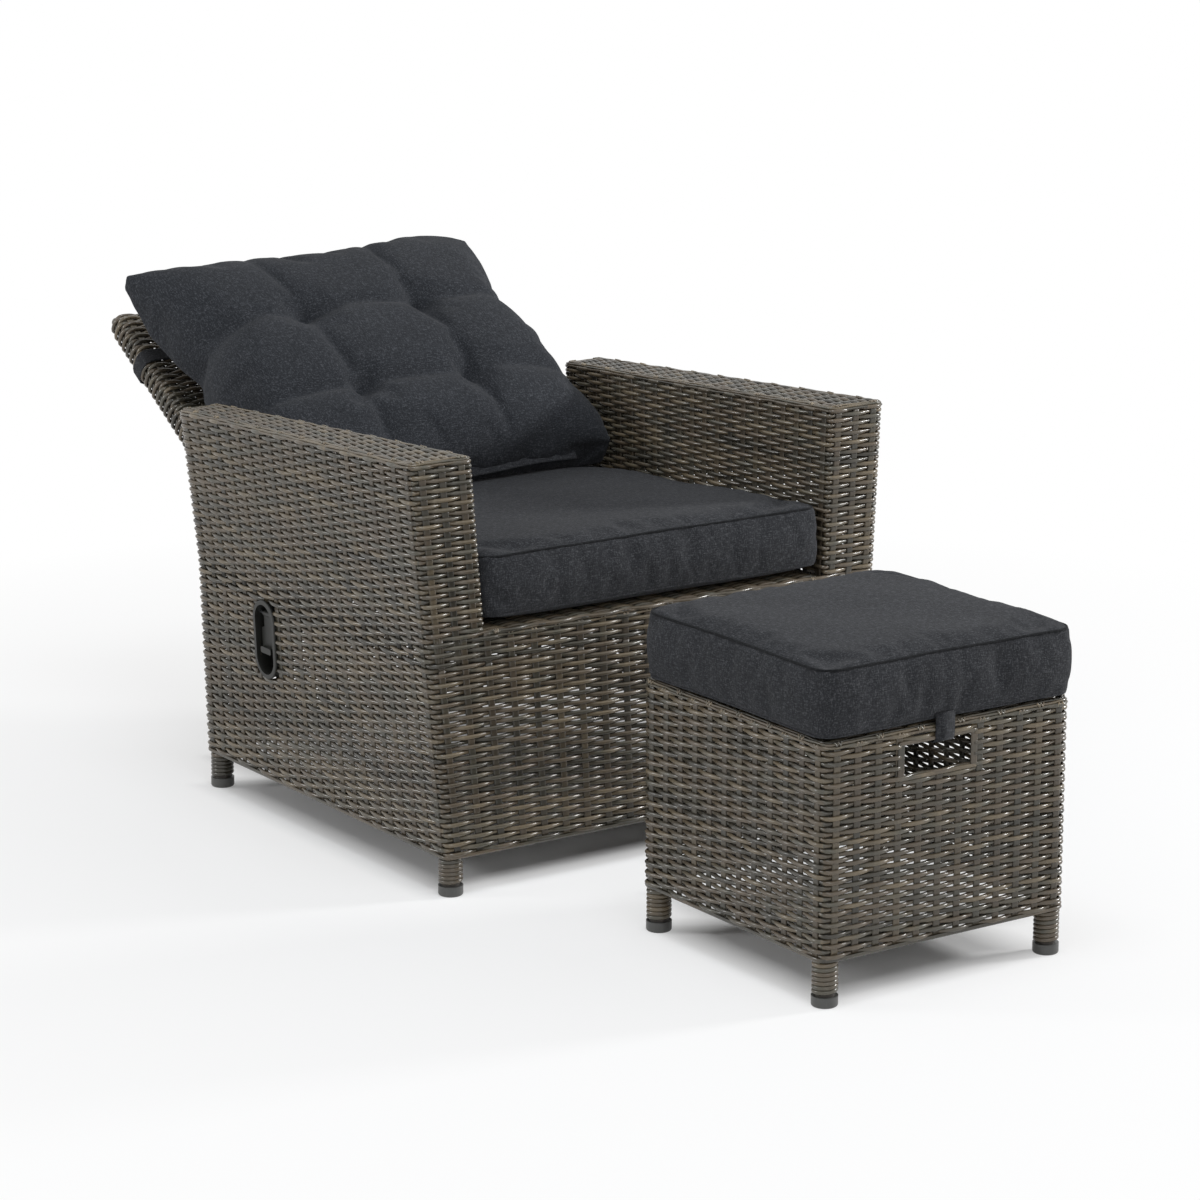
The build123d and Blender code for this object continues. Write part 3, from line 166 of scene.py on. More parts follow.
def beyond(tree, place, centre, half):
    """How far a floor point lies outside a rectangle; below zero inside it."""
    off = node(tree, "ShaderNodeVectorMath", {"operation": "SUBTRACT"}, {1: centre}, {0: place})
    size = node(tree, "ShaderNodeVectorMath", {"operation": "ABSOLUTE"}, links={0: off.outputs[0]})
    over = node(tree, "ShaderNodeVectorMath", {"operation": "SUBTRACT"}, {1: half},
                {0: size.outputs[0]})
    parts = node(tree, "ShaderNodeSeparateXYZ", links={0: over.outputs[0]})
    return maths(tree, "MAXIMUM", parts.outputs[0], parts.outputs[1])


# The floor keeps the set's soft shadow and fades to the white of the studio. Under and
# just behind the chair and the ottoman it stays unlit, so that none shows through their weave.
bm = bmesh.new()
bmesh.ops.create_circle(bm, cap_ends=True, segments=96, radius=9)
floor = added("floor", as_mesh("floor", bm))
paint, tree, shader = material("matt white studio floor", 0.95, "f4f4f4", Specular_IOR_Level=0.1)
place = object_place(tree)
away = node(tree, "ShaderNodeVectorMath", {"operation": "LENGTH"}, links={0: place})
fade = remap(tree, away.outputs["Value"], 0.6, 1.0, 0.6, 1.9)
chair_foot, ottoman_foot = (0.366, 0.323, 0), (0.187, 0.183, 0)
unlit = [beyond(tree, place, centre, half) for centre, half in (
    ((0, 0.106, 0), chair_foot), ((0.085, 0.23, 0), chair_foot), ((0.17, 0.352, 0), chair_foot),
    ((-0.013, -0.665, 0), ottoman_foot), ((0.072, -0.542, 0), ottoman_foot),
    ((0.157, -0.419, 0), ottoman_foot))]
nearest = unlit[0]
for other in unlit[1:]:
    nearest = maths(tree, "MINIMUM", nearest, other)
opened = remap(tree, nearest, 0.0, 1.0, -0.06, 0.02)
share = maths(tree, "MULTIPLY", maths(tree, "MULTIPLY", fade, seen_directly(tree)), opened)
glow = node(tree, "ShaderNodeEmission", values={"Color": (1, 1, 1, 1), "Strength": 1.0})
mixed = node(tree, "ShaderNodeMixShader",
             links={0: share, 1: shader.outputs[0], 2: glow.outputs[0]})
tree.links.new(mixed.outputs[0], tree.nodes["Material Output"].inputs["Surface"])
floor.data.materials.append(paint)


# Half-round polyethylene strand, 6.2 mm wide, extruded in mixed brown, tan and olive streaks
# with a satin gloss. Stakes are two flatter strands side by side.
def noise(tree, scale, detail, vector, **settings):
    return node(tree, "ShaderNodeTexNoise", settings, {"Scale": scale, "Detail": detail},
                {"Vector": vector}).outputs["Fac"]


def colour_ramp(tree, value, stops):
    """A ramp through linear colours, each at its place from 0 to 1."""
    ramp = node(tree, "ShaderNodeValToRGB", links={"Fac": value})
    for position, _ in stops[1:-1]:
        ramp.color_ramp.elements.new(position)
    for element, (_, colour) in zip(ramp.color_ramp.elements, stops):
        element.color = colour
    return ramp.outputs[0]


def shaded(tree, shader, shade, ramp=None, colour=(1, 1, 1, 1)):
    """Gives a shader a ramp's colour or a plain one, times a shade."""
    mixed = node(tree, "ShaderNodeMix", {"data_type": "RGBA", "blend_type": "MULTIPLY"},
                 {"Factor": 1.0, 6: colour}, {7: shade})
    if ramp:
        tree.links.new(ramp, mixed.inputs[6])
    tree.links.new(mixed.outputs[2], shader.inputs["Base Color"])


def relief(tree, shader, height, strength, depth):
    """Gives a shader the small relief of a texture."""
    bump = node(tree, "ShaderNodeBump", values={"Strength": strength, "Distance": depth},
                links={"Height": height})
    tree.links.new(bump.outputs[0], shader.inputs["Normal"])


def strand_material(name, roughness, share):
    """Satin extruded plastic whose colour changes slowly along each strand."""
    made, tree, shader = material(name, roughness, Specular_IOR_Level=0.55)
    tone = node(tree, "ShaderNodeAttribute", {"attribute_name": "tone"})
    stops = ((0.0, "3e3a31"), (0.2, "545046"), (0.38, "605546"), (0.52, "6b5f4f"),
             (0.68, "59564b"), (0.84, "7c6f5a"), (1.0, "645948"))
    colours = colour_ramp(tree, tone.outputs["Fac"],
                          [(position, linear(colour, share)) for position, colour in stops])
    lines = node(tree, "ShaderNodeUVMap", {"uv_map": "strand"})
    # Streaks about 5 mm long, six of them round the strand
    stretched = node(tree, "ShaderNodeMapping", values={"Scale": (40, 1.2, 1)},
                     links={"Vector": lines.outputs[0]})
    streaks = noise(tree, 5.0, 3.0, stretched.outputs[0], noise_dimensions="2D")
    shaded(tree, shader, remap(tree, streaks, 0.72, 1.28), colours)
    relief(tree, shader, streaks, 0.3, 0.0003)
    return made


row_plastic = strand_material("half-round polyethylene strand", 0.24, 0.8)
stake_plastic = strand_material("flat polyethylene stake", 0.34, 0.58)
thread_plastic = strand_material("fine polyethylene strand", 0.3, 1.35)
half_round = np.array([(-0.46, -0.4), (-0.5, -0.08), (-0.36, 0.3), (-0.13, 0.5), (0.13, 0.5),
                       (0.36, 0.3), (0.5, -0.08), (0.46, -0.4)]) * (6.2 * mm, 4.1 * mm)
flat_pair = np.array([(-0.5, -0.4), (-0.47, 0.15), (-0.27, 0.5), (0.0, 0.05),
                      (0.27, 0.5), (0.47, 0.15), (0.5, -0.4)]) * (10.6 * mm, 1.7 * mm)
# Each kind of strand has its section and its plastic.
row_strand = half_round, row_plastic
border_strand = half_round * (0.58, 0.62), row_plastic
wrap_strand = half_round * (0.98, 0.8), row_plastic
thread = half_round * (0.36, 0.5), thread_plastic
stake = flat_pair, stake_plastic
weave_random = np.random.default_rng(11)


def unit(vectors):
    return vectors / np.linalg.norm(vectors, axis=-1, keepdims=True)


def strand_tones(length, count):
    """A slow change of tone along one strand, about every 70 mm."""
    knots = max(int(length / 0.07), 1) + 2
    values = np.clip(weave_random.normal(weave_random.uniform(0.15, 0.9), 0.2, knots), 0, 1)
    return np.interp(np.linspace(0, knots - 1, count), np.arange(knots), values)


def lay_strands(name, strands, body, replaced=(), kind=row_strand):
    """One mesh of many strands, each (places, outward directions, closed)."""
    section, finish = kind
    points, tones, quads, caps, lines = [], [], [], [], []
    start, around = 0, len(section)
    for places, outward, closed in strands:
        count = len(places)
        if closed:
            along = np.roll(places, -1, 0) - np.roll(places, 1, 0)
        else:
            along = np.gradient(places, axis=0)
        along = unit(along)
        side = unit(np.cross(along, outward))
        rise = np.cross(side, along)
        rings = (places[:, None] + side[:, None] * section[None, :, :1]
                 + rise[:, None] * section[None, :, 1:])
        points.append(rings.reshape(-1, 3))
        steps = np.linalg.norm(np.diff(places, axis=0), axis=1)
        run = np.concatenate([[0], np.cumsum(steps)])
        tones.append(np.repeat(strand_tones(run[-1], count), around))
        lines.append(np.stack([np.repeat(run + start * 0.013, around),
                               np.tile(np.linspace(0, 1, around), count)], 1))
        first = start + np.arange(count if closed else count - 1) * around
        second = start + (np.arange(len(first)) + 1) % count * around
        ring = np.arange(around)
        turn = (ring + 1) % around
        quads.append(np.stack([first[:, None] + ring, first[:, None] + turn,
                               second[:, None] + turn, second[:, None] + ring], -1).reshape(-1, 4))
        if not closed:
            caps.append(start + ring[::-1])
            caps.append(start + (count - 1) * around + ring)
        start += count * around
    points, quads = np.concatenate(points), np.concatenate(quads)
    corners = np.concatenate([quads.ravel(), *caps]).astype(np.int32)
    totals = np.concatenate([np.full(len(quads), 4), np.full(len(caps), around)]).astype(np.int32)
    mesh = bpy.data.meshes.new(name)
    mesh.vertices.add(len(points))
    mesh.vertices.foreach_set("co", points.astype(np.float32).ravel())
    mesh.loops.add(len(corners))
    mesh.loops.foreach_set("vertex_index", corners)
    mesh.polygons.add(len(totals))
    starts = np.concatenate([[0], np.cumsum(totals)[:-1]]).astype(np.int32)
    mesh.polygons.foreach_set("loop_start", starts)
    mesh.polygons.foreach_set("use_smooth", np.ones(len(totals), bool))
    mesh.update(calc_edges=True)
    mesh.attributes.new("tone", "FLOAT", "POINT").data.foreach_set(
        "value", np.concatenate(tones).astype(np.float32))
    mesh.uv_layers.new(name="strand").data.foreach_set(
        "uv", np.concatenate(lines)[corners].astype(np.float32).ravel())
    mesh.validate()
    mesh.materials.append(finish)
    piece = added(name, mesh)
    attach(piece, body)
    if replaced:
        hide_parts(*replaced)


# Chair weave: rows run level round all four sides up to the waist, over and under upright
# stakes, one row 6.9 mm above the other. Above it each arm has its own rings.
up, right = np.array([0.0, 0.0, 1.0]), np.array([1.0, 0.0, 0.0])
front_y = -227.714 * mm
seat_height, seat_slope, inner_depth = 358.6 * mm, 0.0717, 0.657
base_rows, upper_rows = 42, 37
rear_top_row, front_top_row = 38, 44
skin_depth = 2.4 * mm
swing = 2.6 * mm
steps_per_stake = 6
side_stakes, front_stakes, arm_stakes = 21, 20, 3
outer_corner, inner_corner = 12 * mm, 6 * mm
# Left arm corners at the foot, the waist and the top: outer front, inner front, inner rear,
# outer rear
arm_levels = np.array([
    [(-355, 0, 56), (-266, 0, 56), (-266, 657, 56), (-355, 657, 56)],
    [(-376.4, 10.2, 345), (-283.2, 10.2, 345), (-286.7, 657, 345), (-364.8, 657, 345)],
    [(-395, 19, 593), (-298, 19, 593), (-302, 690, 556), (-372, 690, 556)]]) * mm
arm_levels[:, :, 1] += front_y
handle_place, handle_half = np.array([-364.6, 229.3, 264.0]) * mm, (27 * mm, 54 * mm)


def arm_corners(row):
    """The left arm's corners at a row, counted from the foot."""
    if row < base_rows:
        low, high, share = arm_levels[0], arm_levels[1], (row + 0.5) / base_rows
    else:
        low, high, share = arm_levels[1], arm_levels[2], (row + 0.5 - base_rows) / upper_rows
    return low + (high - low) * share


def mirrored(points):
    return np.asarray(points) * (-1, 1, 1)


def walk(corners, radii, counts, places, closed=True, first=0.0):
    """Points and outward directions along a rounded outline, with places in stakes."""
    corners = np.asarray(corners, float)
    share = np.linspace(0, 1, 7)[:, None]
    arcs = []
    for index, (corner, radius) in enumerate(zip(corners, radii)):
        if not closed and index in (0, len(corners) - 1):
            arcs.append(corner[None])
            continue
        before, after = corners[index - 1], corners[(index + 1) % len(corners)]
        enter = corner + unit(before - corner) * radius
        leave = corner + unit(after - corner) * radius
        arcs.append((1 - share) ** 2 * enter + 2 * share * (1 - share) * corner
                    + share ** 2 * leave)
    if closed:
        arcs = [arcs[0][3:], *arcs[1:], arcs[0][:4]]
    line = np.concatenate(arcs)
    ends = np.cumsum([len(arc) for arc in arcs])
    middles = [0, *(end - (len(arc) + 1) // 2 for end, arc in zip(ends[1:-1], arcs[1:-1])),
               len(line) - 1]
    reach = np.concatenate([[0], np.cumsum(np.linalg.norm(np.diff(line, axis=0), axis=1))])
    marks = first + np.concatenate([[0], np.cumsum(counts)])
    along = np.interp(places, marks, reach[middles])
    step = 0.5 * mm
    at = [np.stack([np.interp(along + shift, reach, line[:, axis]) for axis in range(3)], 1)
          for shift in (-step, 0, step)]
    outward = unit(np.cross(at[2] - at[0], up))
    return at[1] - outward * skin_depth, outward


def in_runs(keep, closed):
    """Lists of neighbouring samples that are kept, and whether the whole is one closed loop."""
    if keep.all():
        return [(np.arange(len(keep)), closed)]
    order = np.arange(len(keep))
    if closed:
        order = np.roll(order, -int(np.argmin(keep)))
    groups = np.split(order, np.flatnonzero(~keep[order]))
    groups = [group[keep[group]] for group in groups]
    return [(group, False) for group in groups if len(group) > 2]


def off_handle(points):
    """False where the release handle's housing sits in the left side."""
    away = np.abs(points - handle_place)
    return ~((away[:, 1] < handle_half[0]) & (away[:, 2] < handle_half[1]) & (points[:, 0] < -0.3))


def everywhere(points):
    return np.ones(len(points), bool)


def woven_rows(outline, rows, total, closed=True, kept=everywhere, first=0.0):
    """The row strands of one outline, each over and under the stakes by turns."""
    strands = []
    for row in rows:
        places = first + np.arange(round(total * steps_per_stake) + (not closed)) / steps_per_stake
        points, outward = outline(row, places)
        wave = np.cos(pi * (places - 0.5 + row))
        lifted = points + outward * (swing * wave * (1.25 - 0.25 * wave ** 2))[:, None]
        for run, whole in in_runs(kept(points), closed):
            strands.append((lifted[run], outward[run], whole))
    return strands


def woven_stakes(outline, rows, marks, kept=everywhere):
    """The stakes of one outline, from its first row to its last."""
    marks = np.asarray(marks, float)
    grid = [outline(row, marks) for row in rows]
    points = np.stack([places for places, _ in grid], 1)
    outward = np.stack([ways for _, ways in grid], 1)
    strands = []
    for mark, line, ways in zip(marks, points, outward):
        ease = -0.45 * mm * np.cos(pi * (mark - 0.5 + np.asarray(rows)))
        eased = line + ways * ease[:, None]
        for run, _ in in_runs(kept(line), False):
            strands.append((eased[run], ways[run], False))
    return strands


def base_outline(row, places):
    left = arm_corners(row)
    corners = [left[0], mirrored(left[0]), mirrored(left[3]), left[3]]
    return walk(corners, [outer_corner] * 4,
                [front_stakes, side_stakes, front_stakes, side_stakes], places)


def inner_wall(row):
    """Where an inner wall starts above the seat deck, and over how many stakes it runs."""
    left = arm_corners(row)
    reach = np.clip((seat_height - left[1, 2]) / seat_slope + 0.03, 0.02, 0.55)
    start = left[1] + (left[2] - left[1]) * reach / inner_depth
    return start, side_stakes * (1 - reach / inner_depth)


def sweep_outline(row, places):
    """Rows near the seat: from one inner wall round the outside to the other."""
    left = arm_corners(row)
    start, inner_count = inner_wall(row)
    half = [start, left[2], left[3], left[0]]
    counts = [inner_count, arm_stakes, side_stakes, front_stakes, side_stakes, arm_stakes,
              inner_count]
    corners = [*half, *(mirrored(point) for point in half[::-1])]
    radii = [0, inner_corner, *[outer_corner] * 4, inner_corner, 0]
    return walk(corners, radii, counts, places, closed=False, first=-inner_count)


arm_counts = [arm_stakes, side_stakes] * 2


def arm_outline(row, places):
    return walk(arm_corners(row), [outer_corner, inner_corner, inner_corner, outer_corner],
                arm_counts, places)


def turned(strands):
    """The same strands, drawn from their other ends."""
    return [(points[::-1], outward[::-1], closed) for points, outward, closed in strands]


def on_right(strands):
    """The same strands on the chair's right side."""
    return turned([(mirrored(points), mirrored(outward), closed)
                   for points, outward, closed in strands])


def foot_strands(outline, total):
    """Two plain strands that close a weave's foot: each (inset, fall, share turned down)."""
    strands = []
    for inset, fall, downward in ((1.6, 4.2, 0.45), (4.6, 5.4, 0.9)):
        points, outward = outline(0, np.arange(total * 5) / 5)
        points = points + outward * (skin_depth - inset * mm) - up * fall * mm
        strands.append((points, unit(outward * (1 - downward) - up * downward), True))
    return strands


base_total = 2 * (front_stakes + side_stakes)
base_strands = (foot_strands(base_outline, base_total)
                + woven_rows(base_outline, range(rear_top_row), base_total, kept=off_handle))
half = len(base_strands) // 2
lay_strands("chair_lower_rows", base_strands[:half], "chair", ["front_weave"])
lay_strands("chair_upper_rows", base_strands[half:], "chair", ["rear_weave"])

sweep_strands = []
for row in range(rear_top_row, front_top_row):
    inner_count = int(inner_wall(row)[1] * steps_per_stake) / steps_per_stake
    total = 2 * (inner_count + arm_stakes + side_stakes) + front_stakes
    sweep_strands += woven_rows(sweep_outline, [row], total, closed=False, first=-inner_count)
lay_strands("chair_seat_rows", sweep_strands, "chair")

base_marks = np.arange(base_total) + 0.5
rear_start, rear_end = base_total // 2, base_total // 2 + front_stakes
upper_marks = [mark for mark in base_marks if mark < rear_start or mark > rear_end]
lay_strands("chair_stakes", woven_stakes(base_outline, range(rear_top_row), base_marks, off_handle)
            + woven_stakes(base_outline, range(rear_top_row - 1, front_top_row), upper_marks),
            "chair", kind=stake)

# Arms: closed rings above the waist, drawn in towards the sloping top, over stakes that
# run on from the chair's sides.
arm_total = sum(arm_counts)
top_row = base_rows + upper_rows
left_arm_strands = woven_rows(arm_outline, range(front_top_row, top_row), arm_total)
lay_strands("left_arm_rows", left_arm_strands, "chair", ["left_arm_weave"])
lay_strands("right_arm_rows", on_right(left_arm_strands), "chair", ["right_arm_weave"])
arm_marks = np.arange(arm_total) + 0.5
left_arm_stakes = woven_stakes(arm_outline, range(rear_top_row, top_row), arm_marks)
lay_strands("arm_stakes", left_arm_stakes + on_right(left_arm_stakes), "chair", kind=stake)


def patch(corners, rows, stakes):
    """Rows and stakes of a flat woven patch; rows run from corner 0 to corner 1."""
    a, b, c, d = (np.asarray(corner, float) for corner in corners)
    outward = unit(np.cross(b - a, d - a))

    def outline(row, places):
        share = (row + 0.5) / rows
        start, end = a + (d - a) * share, b + (c - b) * share
        points = start + (end - start) * (places / stakes)[:, None]
        return points - outward * skin_depth, np.repeat(outward[None], len(places), 0)

    strands = woven_rows(outline, range(rows), stakes, closed=False)
    posts = woven_stakes(outline, range(-1, rows + 1), np.arange(stakes) + 0.5)
    return strands, posts


# Arm tops: rows run along the arm, inside the plain strands that border its edge, and the
# stakes of the sides cross under them.
top = arm_levels[2] + up * 2.6 * mm
side_in, end_in = 7 * mm, 6 * mm
outer_front, inner_front, inner_rear, outer_rear = top
top_corners = [outer_rear + (side_in, -end_in, 0), outer_front + (side_in, end_in, 0),
               inner_front + (-side_in, end_in, 0), inner_rear + (-side_in, -end_in, 0)]
top_rows, top_stakes = patch(top_corners, 12, side_stakes)
arm_edge = top, [12 * mm, 8 * mm, 8 * mm, 12 * mm], arm_counts
stitch_width, stitch_rise, stitch_lift = 5.5 * mm, 2.2 * mm, 1.4 * mm


def leaning(outward, inset):
    """An edge strand's outward direction, which turns up as the strand lies further in."""
    return unit(outward * (6.5 - inset) + up * inset * 1.5)


def edge_border(edge, lines):
    """Plain strands side by side round an edge: each (inset, drop) below the edge."""
    places = np.arange(sum(edge[-1]) * 5) / 5
    points, outward = walk(*edge, places)
    borders = []
    for inset, drop in lines:
        uneven = 0.35 * mm * np.sin(places * 2.3 + inset) + 0.25 * mm * np.sin(places * 5.1 + drop)
        laid = points + outward * (skin_depth - inset * mm) - up * (drop * mm + uneven)[:, None]
        borders.append((laid, leaning(outward, inset), True))
    return borders


def zigzag(place, along, outward, flip, width=stitch_width):
    """Fine strand sewn over a border in the shape of a W, or an M where it is flipped."""
    steps = np.linspace(-1, 1, 17)[:, None]
    rise = np.cross(outward, along) * np.cos(2 * pi * steps) * flip * stitch_rise
    points = place + along * steps * width + rise + outward * stitch_lift
    return points, np.repeat(outward[None], len(steps), 0), False


def edge_stitches(edge, marks, lines):
    """A zigzag over the border at each mark, on each of the lines by turns."""
    points, outward = walk(*edge, marks)
    stitches = []
    for mark, place, way in zip(marks, points, outward):
        turn = int(mark) % len(lines)
        inset, drop = lines[turn]
        sewn = place + way * (skin_depth - inset * mm) - up * drop * mm
        stitches.append(zigzag(sewn, unit(np.cross(up, way)), leaning(way, inset), 1 - 2 * turn))
    return stitches


arm_borders = edge_border(arm_edge, ((0.5, 4.9), (2.1, 1.5), (6.0, -0.3)))
arm_stitches = edge_stitches(arm_edge, arm_marks[::2], ((4.6, 0.2),))
lay_strands("arm_top_rows", top_rows + on_right(top_rows), "chair")
lay_strands("arm_top_stakes", top_stakes + on_right(top_stakes), "chair", kind=stake)
lay_strands("arm_top_borders", arm_borders + on_right(arm_borders), "chair", kind=border_strand)
lay_strands("arm_top_stitches", arm_stitches + on_right(arm_stitches), "chair", kind=thread)

# Seat deck: a looser flat weave on the seat rails. Plain strands lie along the front rail,
# and a fine one is stitched over them at each front stake between the arms.
(deck_front, front_z), (deck_rear, rear_z) = (
    (front_y + back * mm, (358.4 - seat_slope * back) * mm) for back in (14, 583))
deck_corners = [(-0.2815, deck_front, front_z), (0.2815, deck_front, front_z),
                (0.2835, deck_rear, rear_z), (-0.2835, deck_rear, rear_z)]
deck_rows, deck_stakes = patch(deck_corners, 82, 16)
# Each line on the rail: its drop and its depth behind the rail's face, in mm
rail_lines = ((8.0, 0.3), (4.0, 1.6), (2.9, 5.9), (2.6, 10.4))
rail_top, rail_half, front_half = 357.4, 280 * mm, 376 * mm


def rail_way(drop, back):
    return unit(np.array([0, back - 8.0, 8.0 - drop]))


rail_borders, rail_stitches = [], []
line = np.linspace(-rail_half, rail_half, 90)
for drop, back in rail_lines:
    points = np.stack([line, np.full(90, front_y + (11.2 + back) * mm),
                       np.full(90, (rail_top - drop) * mm)], 1)
    points[:, 2] += 0.4 * mm * np.sin(line * 74 + drop) + 0.3 * mm * np.sin(line * 190 + back)
    rail_borders.append((points, np.repeat(rail_way(drop, back)[None], 90, 0), False))
front_pitch = 2 * front_half / front_stakes
for index in range(3, front_stakes - 3):
    drop, back = rail_lines[index % 2]
    place = np.array([(index + 0.5) * front_pitch - front_half, front_y + (11.0 + back) * mm,
                      (rail_top - drop) * mm])
    rail_stitches.append(zigzag(place, right, rail_way(drop, back), index % 2 * 2 - 1))
# A short stitch holds the rail's strands beside each arm.
for side in (-1, 1):
    place = np.array([side * 0.267, front_y + 12.4 * mm, 355.4 * mm])
    rail_stitches.append(zigzag(place, right, unit(np.array([0, -6.5, 6.0])), 1, 3.8 * mm))
lay_strands("seat_deck_rows", deck_rows, "chair", ["seat_weave"])
lay_strands("seat_deck_stakes", deck_stakes, "chair", kind=stake)
lay_strands("front_rail_borders", rail_borders, "chair", kind=border_strand)
lay_strands("front_rail_stitches", rail_stitches, "chair", kind=thread)


# Leg wraps: one strand wound round each bare post end, turn beside turn.
def wound(x, y, low, high, radius=15.1 * mm):
    turns = (high - low) / (6.6 * mm)
    angle = np.linspace(0, turns * 2 * pi, int(turns * 20))
    outward = np.stack([np.cos(angle), np.sin(angle), np.zeros(len(angle))], 1)
    points = outward * radius + (x, y, 0)
    points[:, 2] = np.linspace(low + 3 * mm, high - 3 * mm, len(angle))
    return points, outward, False


chair_wraps = [wound(x, y, 14 * mm, 57 * mm) for x in (-0.3377, 0.3377) for y in (-0.2104, 0.4120)]
lay_strands("chair_leg_strands", chair_wraps, "chair", ["chair_leg_wraps"], wrap_strand)

# Back panel: rows run right round it, over stakes along its length, and close over the top
# tube.
hinge = np.array([0, 384.29, 333]) * mm
back_angle = radians(32)
back_along = np.array([0, cos(back_angle), sin(back_angle)])
back_normal = np.array([0, -sin(back_angle), cos(back_angle)])
back_half, back_thick = 277 * mm, 21.8 * mm
back_start, back_end = 30 * mm, 546 * mm
back_rows, cap_rows, face_stakes = 72, 4, 17
back_counts = [face_stakes, 1] * 2


def rectangle(x, y, height=0.0, centre=(0.0, 0.0)):
    """A level rectangle's corners from its half sides, the front left one first."""
    return np.array([(centre[0] + side * x, centre[1] + end * y, height)
                     for side, end in ((-1, -1), (1, -1), (1, 1), (-1, 1))])


def on_back(outline, along):
    """Carries a level outline to the back panel; its front side becomes the panel's front."""
    points, outward = outline
    return (hinge + back_along * along + points[:, :1] * right - points[:, 1:2] * back_normal,
            outward[:, :1] * right - outward[:, 1:2] * back_normal)


def back_outline(row, places):
    straight = back_end - back_thick - back_start
    if row < back_rows:
        along, thick, half = back_start + straight * (row + 0.5) / back_rows, back_thick, back_half
    else:
        turn = (row - back_rows + 0.5) / cap_rows * pi / 2 * 0.86
        along = back_end - back_thick + back_thick * sin(turn)
        thick, half = back_thick * cos(turn), back_half - 9 * mm * (1 - cos(turn))
    radius = min(16 * mm, thick * 0.8)
    return on_back(walk(rectangle(half, thick), [radius] * 4, back_counts, places), along)


back_total, all_rows = sum(back_counts), range(back_rows + cap_rows)
back_strands = turned(woven_rows(back_outline, all_rows, back_total))
half = len(back_strands) // 2
lay_strands("back_lower_rows", back_strands[:half], "backrest", ["back_weave"])
lay_strands("back_upper_rows", back_strands[half:], "backrest")
back_posts = woven_stakes(back_outline, all_rows, np.arange(back_total) + 0.5)
lay_strands("back_stakes", turned(back_posts), "backrest", kind=stake)

# Ottoman: rings on four sides with a hand hole in the front and the rear, a woven top, and
# a bound rim.
ottoman_centre, ottoman_half = np.array([(-13, -665.21), (197, 193.5)]) * mm
ottoman_x, ottoman_y = ottoman_centre
ottoman_rows, ottoman_stakes = 40, 12
ottoman_radii, ottoman_counts = [17.3 * mm] * 4, [ottoman_stakes] * 4
hole_centre, hole_half = (-34.2 * mm, 300.2 * mm), (55.5 * mm, 20.5 * mm)


def ottoman_outline(row, places):
    corners = rectangle(*ottoman_half, (63 + 6.85 * (row + 0.5)) * mm, ottoman_centre)
    return walk(corners, ottoman_radii, ottoman_counts, places)


def off_hand_hole(points):
    return ~((np.abs(points[:, 0] - hole_centre[0]) < hole_half[0])
             & (np.abs(points[:, 2] - hole_centre[1]) < hole_half[1])
             & (np.abs(points[:, 1] - ottoman_y) > 0.17))


ottoman_total = sum(ottoman_counts)
ottoman_strands = (foot_strands(ottoman_outline, ottoman_total)
                   + woven_rows(ottoman_outline, range(ottoman_rows), ottoman_total,
                                kept=off_hand_hole))
lay_strands("ottoman_rows", ottoman_strands, "ottoman", ["ottoman_weave"])
ottoman_marks = np.arange(ottoman_total) + 0.5
ottoman_posts = woven_stakes(ottoman_outline, range(ottoman_rows), ottoman_marks, off_hand_hole)
top_rows, top_stakes = patch(rectangle(0.187, 0.1835, 0.3395, ottoman_centre), 54, ottoman_stakes)
rim_edge = rectangle(*ottoman_half, 0.340, ottoman_centre), ottoman_radii, ottoman_counts
rim = edge_border(rim_edge, ((0.4, 5.4), (1.7, 1.7), (5.6, -0.1)))
rim_stitches = edge_stitches(rim_edge, ottoman_marks, ((1.7, 1.7), (0.4, 5.4)))
# Each hand hole is bound: strands lie along its top and bottom, and one stake up each side.
hole_edges, hole_sides = [], []
for side in (-1, 1):
    way = np.array([0, side, 0.0])
    face = ottoman_y + side * (ottoman_half[1] - 0.6 * mm)
    for height in (277.4, 323.0):
        line = np.linspace(-96, 27.6, 30)[:, None] * mm * right
        hole_edges.append((line + (0, face, height * mm), np.repeat(way[None], 30, 0), False))
    for across in (-92.4, 24.0):
        line = np.linspace(276, 324, 10)[:, None] * mm * up
        hole_sides.append((line + (across * mm, face + side * 0.8 * mm, 0),
                           np.repeat(way[None], 10, 0), False))
lay_strands("ottoman_top_rows", top_rows + hole_edges, "ottoman", ["ottoman_top_weave"])
lay_strands("ottoman_stakes", ottoman_posts + top_stakes + hole_sides, "ottoman", kind=stake)
lay_strands("ottoman_borders", rim, "ottoman", kind=border_strand)
lay_strands("ottoman_stitches", rim_stitches, "ottoman", kind=thread)
ottoman_wraps = [wound(ottoman_x + x, ottoman_y + y, 14 * mm, 64 * mm)
                 for x in (-0.1797, 0.1797) for y in (-0.1762, 0.1762)]
lay_strands("ottoman_leg_strands", ottoman_wraps, "ottoman", ["ottoman_leg_wraps"], wrap_strand)


